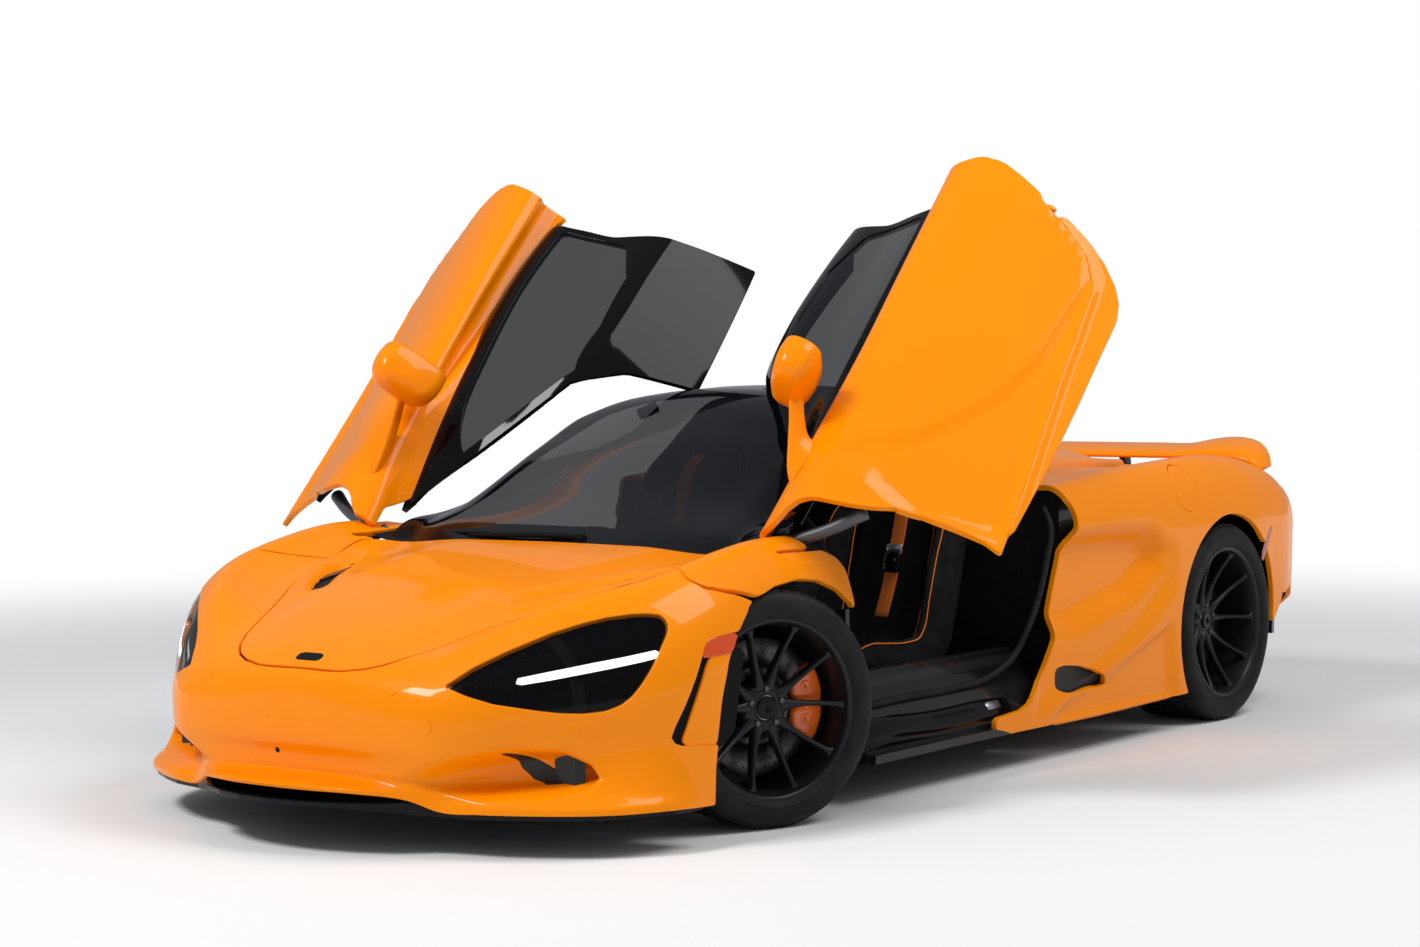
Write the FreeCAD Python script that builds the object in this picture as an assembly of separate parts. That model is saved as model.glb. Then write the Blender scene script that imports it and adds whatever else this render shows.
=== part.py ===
"""Mid-engine supercar with two dihedral doors, built as separate pieces.

Millimetres. X points to the car's left, Y to the rear, Z up.
The origin is on the ground, under the middle of the car's length.
The doors stand open and the front wheels are turned to the car's right.
"""
import FreeCAD, Part
import math
import os

os.makedirs("parts", exist_ok=True)

# Overall layout
HALF_WIDTH = 965.0
SIDE_X = HALF_WIDTH + 35.0
ROOF_Z = 1196.0
WHEELBASE = 2670.0
FRONT_AXLE_Y = -1189.5
REAR_AXLE_Y = FRONT_AXLE_Y + WHEELBASE
NOSE_Y = -2284.5
TAIL_Y = 2284.5
FLOOR_Z = 112.0
FLOOR_T = 26.0

# Wheels
FRONT_TRACK = 1680.0
REAR_TRACK = 1629.0
FRONT_TYRE_R = 327.0
REAR_TYRE_R = 345.5
FRONT_TYRE_W = 245.0
REAR_TYRE_W = 295.0
FRONT_RIM_R = 252.0
REAR_RIM_R = 264.0
RIM_WALL = 9.0
SPOKE_PAIRS = 5
HUB_R = 74.0
FRONT_DISC_R = 190.0
REAR_DISC_R = 190.0
DISC_BELL_R = 92.0
FRONT_ARCH_R = 398.0
REAR_ARCH_R = 392.0
FRONT_WELL_X = 535.0
REAR_WELL_X = 628.0
WELL_DEEP = 600.0
WELL_LIP_X = 760.0
KINGPIN_IN = 72.0
KINGPIN_X = FRONT_TRACK / 2 - KINGPIN_IN
STEER_REST = -21.0
STUB_R = 34.0
RUN_GAP = 0.05

# Panels
SKIN = 20.0
SEAT_GAP = 0.4
GLASS_GAP = 0.6
SHUT_GAP = 6.0
SEAM_GAP = 3.0
JAMB_GAP = 10.0
CANOPY_T = 16.0
GLASS_T = 6.0

# Doors
HINGE_LOW = (758.8, -1019.7, 745.0)
HINGE_UP = (236.7, -300.0, 1118.0)
DOOR_OPEN = -72.2
HINGE_PIN_R = 8.0
DOOR_BOX_T = 70.0
DOOR_BOX_INSET = 62.0
MIRROR_AT = (945.0, -578.0, 916.0)
MIRROR_W = 212.0
MIRROR_H = 132.0
MIRROR_D = 112.0

# Bonnet, wing and steering wheel
BONNET_AXIS_Y = -1084.0
BONNET_AXIS_Z = 700.0
WING_CHORD = 235.0
WING_T = 26.0
STEER_WHEEL_R = 178.0
GRIP_R = 15.0
STEER_WHEEL_AT = (370.0, -455.0, 700.0)
COLUMN_TILT = 24.0


def front(offset):
    """Y of a station given from the front axle."""
    return FRONT_AXLE_Y + offset


def rear(offset):
    """Y of a station given from the rear axle."""
    return REAR_AXLE_Y + offset


# Body sections, half width, lower body and its top surface.
# y, crown z at centre, valley x z, crest x z, widest inset and z, sill x z
BODY_ROWS = [
    (front(-978), 438, 120, 430, 170, 412, 715, 333, 250, 163),
    (front(-940), 476, 230, 468, 320, 452, 495, 345, 466, 118),
    (front(-880), 512, 310, 500, 400, 490, 402, 362, 560, 112),
    (front(-800), 548, 380, 528, 480, 540, 317, 382, 645, 112),
    (front(-650), 603, 480, 584, 620, 632, 165, 405, 796, 112),
    (front(-520), 640, 560, 618, 725, 676, 60, 435, 900, 112),
    (front(-400), 668, 620, 650, 785, 706, 18, 470, 945, 112),
    (front(0), 733, 650, 720, 812, 782, 0, 560, 955, 114),
    (front(180), 752, 690, 750, 815, 786, 6, 600, 950, 116),
    (front(420), 770, 700, 772, 850, 790, 14, 600, 945, 118),
    (front(830), 800, 720, 800, 868, 806, 24, 560, 938, 118),
    (front(1190), 830, 715, 832, 872, 836, 22, 570, 940, 118),
    (rear(-1100), 862, 700, 866, 868, 868, 8, 650, 950, 120),
    (rear(-750), 880, 680, 884, 860, 896, 0, 690, 955, 124),
    (rear(-380), 888, 660, 892, 852, 918, 0, 710, 957, 128),
    (rear(0), 888, 640, 892, 846, 928, 0, 715, 957, 132),
    (rear(330), 876, 640, 882, 832, 902, 10, 710, 945, 140),
    (rear(600), 846, 620, 848, 800, 846, 50, 690, 900, 190),
    (rear(740), 812, 590, 812, 740, 806, 130, 670, 820, 250),
]

# Canopy sections, half width: y, drop of the crown below the roof, rail x z, belt x z
CANOPY_ROWS = [
    (front(130), 452, 500, 730, 690, 705),
    (front(190), 420, 500, 768, 702, 748),
    (front(390), 311, 505, 857, 730, 772),
    (front(690), 128, 490, 1020, 760, 797),
    (front(940), 16, 470, 1132, 772, 815),
    (front(1090), 3, 455, 1152, 775, 827),
    (front(1290), 0, 445, 1156, 768, 842),
    (front(1540), 11, 425, 1146, 735, 862),
    (rear(-880), 41, 400, 1116, 670, 880),
    (rear(-580), 96, 360, 1062, 590, 888),
    (rear(-180), 186, 310, 985, 500, 888),
    (rear(240), 276, 260, 905, 420, 880),
]

# Outlines in the side view (y, z)
DOOR_SIDE = [
    (front(400), 150), (front(376), 580), (front(314), 655), (front(270), 700),
    (front(20), 700), (front(20), 930), (front(1538), 930),
    (front(1599), 812), (front(1644), 731), (front(1600), 640), (front(1510), 500),
    (front(1492), 374), (front(1447), 269), (front(1394), 242), (front(1322), 242),
    (front(1247), 205), (front(1163), 150),
]
SIDE_WINDOW = [
    (front(330), 852), (front(520), 950), (front(840), 1085), (front(1060), 1118),
    (front(1290), 1120), (front(1440), 1070), (front(1490), 905), (front(1190), 878),
    (front(700), 846),
]
BUMPER_TOP = [(front(-1000), 90), (front(-1000), 452), (front(-880), 495), (front(-640), 560),
              (front(-470), 640), (front(-372), 655), (front(-372), 90)]
WHEEL_VENT = [(front(-508), 300), (front(-478), 276), (front(-412), 272), (front(-405), 470), (front(-436), 462)]
FLANK_INTAKE = [(rear(-1190), 216), (rear(-1186), 294), (rear(-1045), 286), (rear(-945), 266), (rear(-866), 218),
                (rear(-940), 208), (rear(-1125), 208)]

WELL_ROOF = [(front(-400), -1), (front(-400), 430), (front(-345), 520), (front(-185), 645), (front(-80), 674),
             (front(80), 674), (front(185), 645), (front(345), 520), (front(400), 430), (front(400), -1)]

# Outlines in plan (x, y)
DOOR_TOP = [
    (784, front(158)), (860, front(172)), (920, front(246)), (945, front(285)), (SIDE_X, front(330)),
    (SIDE_X, front(1700)), (600, front(1700)), (600, front(430)), (712, front(340)), (784, front(240)),
]
WING_TAIL = [
    (736, front(120)), (872, front(134)), (936, front(216)), (SIDE_X, front(300)), (SIDE_X, front(700)),
    (690, front(700)), (690, front(200)), (736, front(178)),
]
DOOR_PLAN = [
    (790, front(150)), (700, front(340)), (600, front(590)), (500, front(830)),
    (360, front(940)), (127, front(1019)), (117, front(1593)), (575, front(1487)),
    (1000, front(1538)), (1000, front(150)),
]
WINDSCREEN = [
    (-640, front(205)), (0, front(150)), (640, front(205)), (560, front(420)),
    (470, front(660)), (385, front(850)), (270, front(915)), (0, front(945)),
    (-270, front(915)), (-385, front(850)), (-470, front(660)), (-560, front(420)),
]
BONNET = [
    (0, front(-946)), (160, front(-943)), (272, front(-902)), (357, front(-795)), (440, front(-640)),
    (590, front(-440)), (690, front(-280)), (712, front(-92)), (690, front(-24)),
    (600, front(112)), (0, front(118)),
]
COWL = [(0, front(166)), (626, front(166)), (700, front(30)), (726, front(100)), (726, front(176)),
        (690, front(420)), (0, front(420))]
DECK = [(0, front(1632)), (610, front(1632)), (640, rear(-600)), (630, rear(200)),
        (600, rear(560)), (0, rear(575))]
ENGINE_WINDOW = [(-30, rear(-880)), (330, rear(-870)), (262, rear(-330)), (215, rear(60)), (-30, rear(70))]

# Headlamp seen square to the car's front corner: distance along the corner, z
LAMP = [
    (-1140, 446), (-976, 531), (-780, 599), (-650, 620), (-574, 615), (-558, 590),
    (-606, 484), (-660, 412), (-730, 376), (-850, 374), (-1021, 402),
]
LAMP_DEPTH = (1300.0, 2200.0)

# Outlines from the front or rear (x, z)
SIDE_INTAKE = [(505, 205), (540, 244), (590, 268), (650, 274), (710, 264), (748, 240), (758, 212),
               (738, 186), (690, 172), (620, 168), (550, 176)]
TAIL_OPENING = [(-30, 400), (560, 380), (700, 470), (735, 700), (560, 770), (-30, 788)]

# Splitter under the nose, with a raised blade in its middle
SPLITTER_T = 16.0
SPLITTER_TOP = FLOOR_Z + 6.0
SPLITTER = [(0, NOSE_Y), (120, NOSE_Y + 12), (200, NOSE_Y + 35), (300, NOSE_Y + 80), (390, NOSE_Y + 165),
            (450, NOSE_Y + 190), (569, NOSE_Y + 220), (666, NOSE_Y + 265), (757, NOSE_Y + 316),
            (838, NOSE_Y + 378), (894, NOSE_Y + 472), (942, NOSE_Y + 578), (950, front(-FRONT_ARCH_R + 26)),
            (560, front(-400)), (560, front(-700)), (0, front(-800))]
BLADE_X = 390.0
BLADE_RISE = 38.0
BLADE_ROOT_Y = front(-880)
BLADE_KNEE_Y = front(-985)

# Stations along the car
TAIL_Y_CUT = rear(470)
GRILLE_Y = front(-706)
REAR_SPLIT = front(1632)
REAR_PLATE_Y = rear(462)
TAIL_FACE_Y = rear(740)
GRILLE_T = 14.0
GRILLE_X = (455.0, 716.0)
GRILLE_Z = (144.0, 306.0)
BEAM_Y = GRILLE_Y + GRILLE_T + SEAT_GAP
CELL_FRONT_Y = front(190)

# Tub
WALL = 30.0
REAR_WALL_TOP = 872.0
DASH_Z = 560.0
SILL = [(640, FLOOR_Z), (905, FLOOR_Z), (905, 150), (878, 170), (790, 300), (750, 350), (715, 350),
        (690, 320), (670, FLOOR_Z + FLOOR_T), (640, FLOOR_Z + FLOOR_T)]
TUNNEL = [(0, FLOOR_Z), (140, FLOOR_Z), (115, 360), (90, 395), (0, 395)]

# Door's upper hinge, measured along the hinge line
UP_AT = 1042.0

# Tail
TAIL_SCREEN_T = 16.0
EXHAUST_Z = 600.0
EXHAUST_R = 52.0
EXHAUST_X = 82.0
WING_AT = (rear(540), 900.0)
WING_SPAN = 852.0
WING_POST = (240.0, 262.0, 22.0, 82.0)

# Seats
SEAT_X = 370.0
SEAT_W = 480.0
SEAT_BODY = [(front(860), 240), (front(850), 372), (front(1010), 352), (front(1240), 330), (front(1330), 420),
             (front(1455), 830), (front(1480), 1000), (front(1545), 1010), (front(1560), 930),
             (front(1470), 420), (front(1380), 240)]
SEAT_SIDE = [(front(880), 250), (front(890), 420), (front(1180), 440), (front(1280), 560), (front(1380), 780),
             (front(1460), 850), (front(1540), 830), (front(1440), 420), (front(1380), 250)]

# Wheel corners, x from the wheel's centre
FLANGE_T = 8.0
DISC_X = (-22.0, 8.0)
VENT_IN = 11.0
VENT_R = 112.0
KNUCKLE_X = (-90.0, -34.0)
SPINDLE_END = 52.0
ARM_DROP = 171.0
ARM_T = 22.0
KINGPIN_R = 9.0
CALIPER_R = (112.0, 214.0)


def vec(point):
    return FreeCAD.Vector(*point)


def face(points):
    return Part.Face(Part.makePolygon([vec(p) for p in points + points[:1]]))


def grown(flat, gap):
    return flat.makeOffset2D(gap, join=2) if gap else flat


def side_prism(outline, x0, x1, gap=0.0):
    """Outline in (y, z) carried from x0 to x1."""
    flat = grown(face([(0, y, z) for y, z in outline]), gap)
    flat.translate(vec((x0, 0, 0)))
    return flat.extrude(vec((x1 - x0, 0, 0)))


def plan_prism(outline, z0, z1, gap=0.0):
    """Outline in (x, y) carried from z0 to z1."""
    flat = grown(face([(x, y, 0) for x, y in outline]), gap)
    flat.translate(vec((0, 0, z0)))
    return flat.extrude(vec((0, 0, z1 - z0)))


def front_prism(outline, y0, y1, gap=0.0):
    """Outline in (x, z) carried from y0 to y1."""
    flat = grown(face([(x, 0, z) for x, z in outline]), gap)
    flat.translate(vec((0, y0, 0)))
    return flat.extrude(vec((0, y1 - y0, 0)))


def corner_prism(outline, gap=0.0):
    """Outline seen square to the front corner, carried through the lamp's depth."""
    half = math.sqrt(0.5)
    flat = grown(face([(a * half, a * half, z) for a, z in outline]), gap)
    outward = vec((half, -half, 0))
    flat.translate(outward * LAMP_DEPTH[0])
    return flat.extrude(outward * (LAMP_DEPTH[1] - LAMP_DEPTH[0]))


def block(x0, x1, y0, y1, z0, z1):
    return Part.makeBox(x1 - x0, y1 - y0, z1 - z0, vec((x0, y0, z0)))


def rod(start, end, radius):
    along = vec(end).sub(vec(start))
    return Part.makeCylinder(radius, along.Length, vec(start), along)


def mirrored(shape):
    return shape.mirror(vec((0, 0, 0)), vec((1, 0, 0)))


def both(shape):
    return Part.makeCompound([shape, mirrored(shape)])


def whole(shape):
    """The left half of a shape, joined to its mirror image."""
    half = shape.common(block(0, HALF_WIDTH + 100, NOSE_Y - 100, TAIL_Y + 100, 0, ROOF_Z + 100))
    return half.fuse(mirrored(half)).removeSplitter()


def turned(shape, at, axis, angle):
    copy = shape.copy()
    copy.rotate(vec(at), vec(axis), angle)
    return copy


def fused(shapes):
    return shapes[0].multiFuse(shapes[1:]).removeSplitter()


def largest(shape):
    return max(shape.Solids, key=lambda solid: solid.Volume)


def export(name, shape):
    solids = [solid for solid in shape.Solids if solid.Volume > 400.0]
    result = solids[0] if len(solids) == 1 else Part.makeCompound(solids)
    result.exportStep("parts/" + name + ".step")
    volume = sum(s.Volume for s in solids) / 1e9
    print(name, "solids", len(solids), "valid", result.isValid(), "m3", round(volume, 5))


def crown(x, y, z, middle):
    """Arc across the car through its middle height, or a line where it is flat."""
    ends = vec((-x, y, z)), vec((x, y, z))
    if abs(middle - z) < 1.0:
        return Part.makeLine(*ends)
    return Part.Arc(ends[0], vec((0, y, middle)), ends[1]).toShape()


def closed_wire(top, left):
    edges = [top] + left + [mirrored(edge) for edge in left]
    (bottom_x, bottom_y, bottom_z) = left[-1].Vertexes[-1].Point
    edges.append(Part.makeLine(vec((bottom_x, bottom_y, bottom_z)), vec((-bottom_x, bottom_y, bottom_z))))
    return Part.Wire(Part.__sortEdges__(edges))


def body_section(row, inset, shift):
    y, zc, xv, zv, xk, zk, side, zs, xl, zl = row
    y += shift
    xk -= 0.4 * inset
    zk -= inset
    zv -= inset
    xs = HALF_WIDTH - side - inset
    xl -= inset
    zl += inset
    bulge = vec((xk + 0.68 * (xs - xk), y, zs + 0.66 * (zk - zs)))
    left = [
        Part.makeLine(vec((xv, y, zv)), vec((xk, y, zk))),
        Part.Arc(vec((xk, y, zk)), bulge, vec((xs, y, zs))).toShape(),
        Part.makeLine(vec((xs, y, zs)), vec((xl, y, zl))),
    ]
    return closed_wire(crown(xv, y, zv, zc - inset), left)


def canopy_section(row, inset, shift):
    y, drop, xr, zr, xb, zb = row
    y += shift
    left = [
        Part.makeLine(vec((xr - 0.6 * inset, y, zr - inset)), vec((xb - inset, y, zb))),
        Part.makeLine(vec((xb - inset, y, zb)), vec((xb - inset, y, zb - 90))),
    ]
    return closed_wire(crown(xr - 0.6 * inset, y, zr - inset, ROOF_Z - drop - inset), left)


def lofted(section, rows, inset):
    """Solid through all sections, set in by the inset from the outer surface."""
    shifts = [inset] + [0.0] * (len(rows) - 2) + [-inset]
    wires = [section(row, inset, shift) for row, shift in zip(rows, shifts)]
    return Part.makeLoft(wires, True, True)


# Surfaces that every panel is taken from
BODY_OUT = lofted(body_section, BODY_ROWS, 0.0)
BODY_IN = lofted(body_section, BODY_ROWS, SKIN)
BODY_CORE = lofted(body_section, BODY_ROWS, SKIN + SEAT_GAP)
BODY_CLEAR = lofted(body_section, BODY_ROWS, -SEAT_GAP)
CANOPY_OUT = lofted(canopy_section, CANOPY_ROWS, 0.0)
CANOPY_IN = lofted(canopy_section, CANOPY_ROWS, CANOPY_T)
CANOPY_CLEAR = lofted(canopy_section, CANOPY_ROWS, -SEAT_GAP)
CANOPY_GAP = lofted(canopy_section, CANOPY_ROWS, -SHUT_GAP)
CANOPY_CORE = lofted(canopy_section, CANOPY_ROWS, CANOPY_T + SEAT_GAP)
BODY_SHELL = BODY_OUT.cut(BODY_IN)
CANOPY_SHELL = CANOPY_OUT.cut(CANOPY_IN)


def round_well(radius, x, axle_y, axle_z):
    """Room for one wheel, open to the side of the car."""
    return Part.makeCylinder(radius, WELL_DEEP, vec((x, axle_y, axle_z)), vec((1, 0, 0)))


REAR_WELL = round_well(REAR_ARCH_R, REAR_WELL_X, REAR_AXLE_Y, REAR_TYRE_R)
WELL_HEAD = block(0, WELL_LIP_X, front(-FRONT_ARCH_R), front(FRONT_ARCH_R), 0, 900).cut(
    side_prism(WELL_ROOF, -1, WELL_LIP_X + 1))
FRONT_WELL = round_well(FRONT_ARCH_R, FRONT_WELL_X, FRONT_AXLE_Y, FRONT_TYRE_R).cut(WELL_HEAD)


def door_zone(gap):
    """Space that the lower door takes: its side outline, and from above near the wing."""
    upper = plan_prism(DOOR_TOP, 700 - gap, 1000, gap)
    lower = block(600 - gap, SIDE_X + gap, front(0), front(1700), 100, 700)
    return side_prism(DOOR_SIDE, 600, SIDE_X, gap).common(upper.fuse(lower))


DOOR_CUT = door_zone(SHUT_GAP)


def front_bumper():
    skin = BODY_SHELL.common(side_prism(BUMPER_TOP, 0, SIDE_X))
    skin = skin.cut(plan_prism(BONNET, 380, 900, SHUT_GAP))
    skin = skin.cut(corner_prism(LAMP, SEAM_GAP)).cut(FRONT_WELL)
    skin = skin.cut(front_prism(SIDE_INTAKE, NOSE_Y, front(-650)))
    skin = skin.cut(side_prism(WHEEL_VENT, 850, SIDE_X))
    skin = skin.cut(block(-1, SIDE_X, NOSE_Y, front(0), 0, SPLITTER_TOP))
    skin = skin.cut(block(-1, 870, front(-850), front(0), 0, 142))
    return whole(largest(skin.cut(splitter_blade(SEAT_GAP))))


def splitter_blade(gap):
    """Middle of the splitter, which rises to the front."""
    top = SPLITTER_TOP - SEAT_GAP
    under = top - SPLITTER_T
    outline = [(NOSE_Y, under + BLADE_RISE), (NOSE_Y, top + BLADE_RISE), (BLADE_KNEE_Y, top + BLADE_RISE),
               (BLADE_ROOT_Y, top), (front(-800), top), (front(-800), under), (BLADE_ROOT_Y, under),
               (BLADE_KNEE_Y, under + BLADE_RISE)]
    return side_prism(outline, -1, BLADE_X + gap, gap)


def front_splitter():
    top = SPLITTER_TOP - SEAT_GAP
    plate = plan_prism(SPLITTER, top - SPLITTER_T, top)
    plate = plate.cut(block(-1, BLADE_X, NOSE_Y - 1, BLADE_ROOT_Y, 0, 300))
    blade = splitter_blade(0).common(plan_prism(SPLITTER, 0, 300))
    return whole(plate.fuse(blade))


def grille():
    """Slatted screens behind the two side intakes."""
    frame = block(GRILLE_X[0], GRILLE_X[1], GRILLE_Y, GRILLE_Y + GRILLE_T, GRILLE_Z[0], GRILLE_Z[1])
    window = block(GRILLE_X[0] + GRILLE_T, GRILLE_X[1] - GRILLE_T, GRILLE_Y - 1, GRILLE_Y + GRILLE_T + 1,
                   GRILLE_Z[0] + 12, GRILLE_Z[1] - 12)
    slats = [block(GRILLE_X[0] + 12, GRILLE_X[1] - 12, GRILLE_Y + 2, GRILLE_Y + 12, z, z + 6)
             for z in range(176, 300, 22)]
    posts = [block(x, x + 6, GRILLE_Y + 4, GRILLE_Y + 10, GRILLE_Z[0] + 5, GRILLE_Z[1] - 5) for x in (540, 620)]
    return both(fused([frame.cut(window)] + slats + posts))


def front_wing():
    skin = BODY_SHELL.common(block(0, SIDE_X, front(-700), front(420), 100, 900))
    skin = skin.cut(side_prism(BUMPER_TOP, 0, SIDE_X, SEAM_GAP)).cut(plan_prism(BONNET, 380, 900, SHUT_GAP))
    skin = skin.cut(corner_prism(LAMP, SEAM_GAP)).cut(FRONT_WELL)
    skin = skin.cut(DOOR_CUT).cut(plan_prism(COWL, 300, 900, SEAM_GAP)).cut(plan_prism(WING_TAIL, 690, 900))
    skin = skin.cut(block(-1, SIDE_X, NOSE_Y, TAIL_Y, 0, FLOOR_Z + FLOOR_T + 2))
    return largest(skin.cut(block(-1, 652, front(60), 0, 0, 900)))


def headlamp():
    return BODY_SHELL.common(corner_prism(LAMP))


def bonnet_rod(x0, x1, radius):
    """Rod on the bonnet's hinge line."""
    return rod((x0, BONNET_AXIS_Y, BONNET_AXIS_Z), (x1, BONNET_AXIS_Y, BONNET_AXIS_Z), radius)


def bonnet():
    skin = BODY_SHELL.common(plan_prism(BONNET, 400, 900))
    skin = skin.common(block(-1, 900, NOSE_Y, front(200), 400, 900))
    arm = block(400, 430, BONNET_AXIS_Y - 60, BONNET_AXIS_Y + 12, BONNET_AXIS_Z - 12, 735).common(BODY_IN)
    arm = arm.cut(bonnet_rod(390, 440, HINGE_PIN_R + SEAT_GAP))
    return whole(skin.fuse(arm))


HINGE_DIR = vec(HINGE_UP).sub(vec(HINGE_LOW)).normalize()


def on_hinge(distance):
    """Point on the left door's hinge line, counted from its lower end."""
    return vec(HINGE_LOW).add(HINGE_DIR * distance)


def hinge_rod(start, end, radius):
    return Part.makeCylinder(radius, end - start, on_hinge(start), HINGE_DIR)


DOOR_PLAN_CUT = plan_prism(DOOR_PLAN, 600, 1400, JAMB_GAP)


def windscreen():
    return CANOPY_SHELL.common(plan_prism(WINDSCREEN, 700, 1300, -GLASS_GAP)).cut(BODY_CLEAR)


def roof_frame():
    """Pillars, header, middle spine and rear hoop in one ring."""
    zone = block(0, 1000, front(100), REAR_SPLIT, 600, 1300)
    ring = CANOPY_SHELL.common(zone).cut(DOOR_PLAN_CUT).cut(plan_prism(WINDSCREEN, 600, 1300))
    ring = ring.cut(block(-1, 672, front(100), front(164), 600, 745))
    ring = ring.cut(block(-1, 720, front(100), front(200), 600, 700))
    scuttle = BODY_SHELL.common(plan_prism(COWL, 600, 900)).cut(CANOPY_IN)
    scuttle = scuttle.cut(plan_prism(WINDSCREEN, 700, 900))
    lug = hinge_rod(UP_AT - 18, UP_AT + 18, 14.0).common(CANOPY_OUT)
    low = block(640, HINGE_LOW[0] + 12, HINGE_LOW[1] - 14, HINGE_LOW[1] + 14, 700, HINGE_LOW[2] + 12)
    low = low.common(BODY_CORE)
    ring = fused([ring, scuttle.cut(DOOR_CUT), lug, low])
    ring = ring.cut(hinge_rod(UP_AT - 200, UP_AT + 120, HINGE_PIN_R - 2 + SEAT_GAP))
    ring = ring.cut(hinge_rod(-60, 60, HINGE_PIN_R + SEAT_GAP))
    return whole(ring)


def rear_canopy():
    """Buttresses and rear roof behind the cabin, open over the engine."""
    zone = block(0, 1000, REAR_SPLIT + SEAM_GAP, rear(250), 600, 1300)
    hood = CANOPY_SHELL.common(zone).cut(BODY_CLEAR)
    return whole(hood.cut(plan_prism(ENGINE_WINDOW, 700, 1300)))


def engine_cover():
    """Glass with slots over the engine, let into the rear roof."""
    pane = CANOPY_SHELL.common(plan_prism(ENGINE_WINDOW, 700, 1300, -GLASS_GAP)).cut(BODY_CLEAR)
    slots = [block(-1, 190 - 0.2 * (y - rear(-250)), y, y + 34, 800, 1300) for y in
             [rear(-250) + 70 * step for step in range(4)]]
    return whole(pane.cut(fused(slots)))


def rear_window():
    outline = [(-30, REAR_WALL_TOP + SEAT_GAP), (600, REAR_WALL_TOP + SEAT_GAP), (500, ROOF_Z), (-30, ROOF_Z)]
    y = REAR_SPLIT - WALL / 2
    return whole(front_prism(outline, y, y + GLASS_T).common(CANOPY_CORE))


def engine_deck():
    deck = BODY_SHELL.common(plan_prism(DECK, 780, 1000))
    deck = deck.cut(CANOPY_OUT.common(block(-1, 900, 0, TAIL_Y, 600, 1300)))
    vents = [block(300 + 40 * k, 322 + 40 * k, rear(-60), rear(300), 780, 1000) for k in range(6)]
    deck = deck.cut(fused(vents)).cut(wing_post(SHUT_GAP))
    return whole(largest(deck.common(block(0, 1000, 0, TAIL_Y, 700, 1000))))


def rear_quarter():
    zone = block(0, SIDE_X, 0, TAIL_Y_CUT, FLOOR_Z + 10, 1000)
    skin = BODY_SHELL.common(zone).cut(door_zone(JAMB_GAP)).cut(plan_prism(DECK, 780, 1000, SEAM_GAP))
    skin = skin.cut(CANOPY_CLEAR).cut(REAR_WELL)
    skin = skin.cut(side_prism(FLANK_INTAKE, 800, SIDE_X))
    skin = skin.cut(block(-1, 700, 0, TAIL_Y, 0, 700)).cut(block(600, 906, 0, TAIL_Y, 0, 162))
    return largest(skin)


def rear_bumper():
    zone = block(-1, SIDE_X, TAIL_Y_CUT + SEAM_GAP, TAIL_Y, 200, 1000)
    skin = BODY_SHELL.common(zone).cut(plan_prism(DECK, 780, 1000, SEAM_GAP)).cut(REAR_WELL)
    skin = skin.cut(wing_post(SHUT_GAP))
    skin = skin.cut(front_prism(TAIL_OPENING, rear(560), TAIL_Y))
    skin = skin.cut(block(-1, SIDE_X, 0, TAIL_Y, 0, 262))
    return whole(largest(skin))


def tail_rod(y0, y1, radius):
    """Rod along the left exhaust pipe."""
    return rod((EXHAUST_X, y0, EXHAUST_Z), (EXHAUST_X, y1, EXHAUST_Z), radius)


def tail_grille():
    """Screen of crossed bars that fills the open tail."""
    y = TAIL_FACE_Y - SKIN - SEAT_GAP - TAIL_SCREEN_T
    frame = front_prism(TAIL_OPENING, y, y + TAIL_SCREEN_T, 14.0).common(BODY_CORE)
    frame = frame.cut(front_prism(TAIL_OPENING, y - 1, y + TAIL_SCREEN_T + 1, -10.0))
    bars = [block(-1, 700, y + 3, y + 11, z, z + 7) for z in range(430, 770, 34)]
    posts = [block(x, x + 7, y + 5, y + 13, 385, 780) for x in range(0, 700, 88)]
    inner = front_prism(TAIL_OPENING, y, y + TAIL_SCREEN_T, -4.0)
    screen = fused([frame] + [bar.common(inner) for bar in bars + posts])
    return whole(screen).cut(both(tail_rod(y - 5, y + 40, EXHAUST_R + 6)))


def exhaust():
    pipe = tail_rod(rear(420), rear(745), EXHAUST_R).cut(tail_rod(rear(480), rear(760), EXHAUST_R - 4))
    bridge = block(-1, 60, rear(430), rear(460), EXHAUST_Z - 20, EXHAUST_Z + 20)
    return whole(pipe.fuse(bridge))


def tail_lamp():
    outline = [(560, 700), (690, 640), (718, 700), (600, 745)]
    return front_prism(outline, TAIL_FACE_Y - SKIN, TAIL_FACE_Y + 4)


def diffuser():
    outline = [(rear(330), FLOOR_Z), (rear(620), 150), (TAIL_Y, 225), (TAIL_Y, 262),
               (rear(560), 258), (rear(520), 200), (rear(330), 150)]
    tray = side_prism(outline, -1, 700)
    fins = [block(x, x + 10, rear(480), TAIL_Y - 24, 125, 240) for x in (120, 300, 480, 640)]
    return whole(fused([tray] + fins))


def wing_section(x, chord, rise):
    y, z = WING_AT
    nose = vec((x, y, z + rise))
    tail = vec((x, y + chord, z + rise + 22))
    top = vec((x, y + 0.34 * chord, z + rise + WING_T))
    under = vec((x, y + 0.40 * chord, z + rise - 4))
    return Part.Wire([Part.Arc(nose, top, tail).toShape(), Part.Arc(tail, under, nose).toShape()])


def rear_wing():
    stations = [(0, WING_CHORD, 6), (420, WING_CHORD, 8), (640, WING_CHORD - 8, 14),
                (780, WING_CHORD - 40, 4), (WING_SPAN, WING_CHORD - 90, -38)]
    blade = Part.makeLoft([wing_section(*s) for s in stations], True, True)
    return whole(blade.fuse(wing_post(0)))


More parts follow.
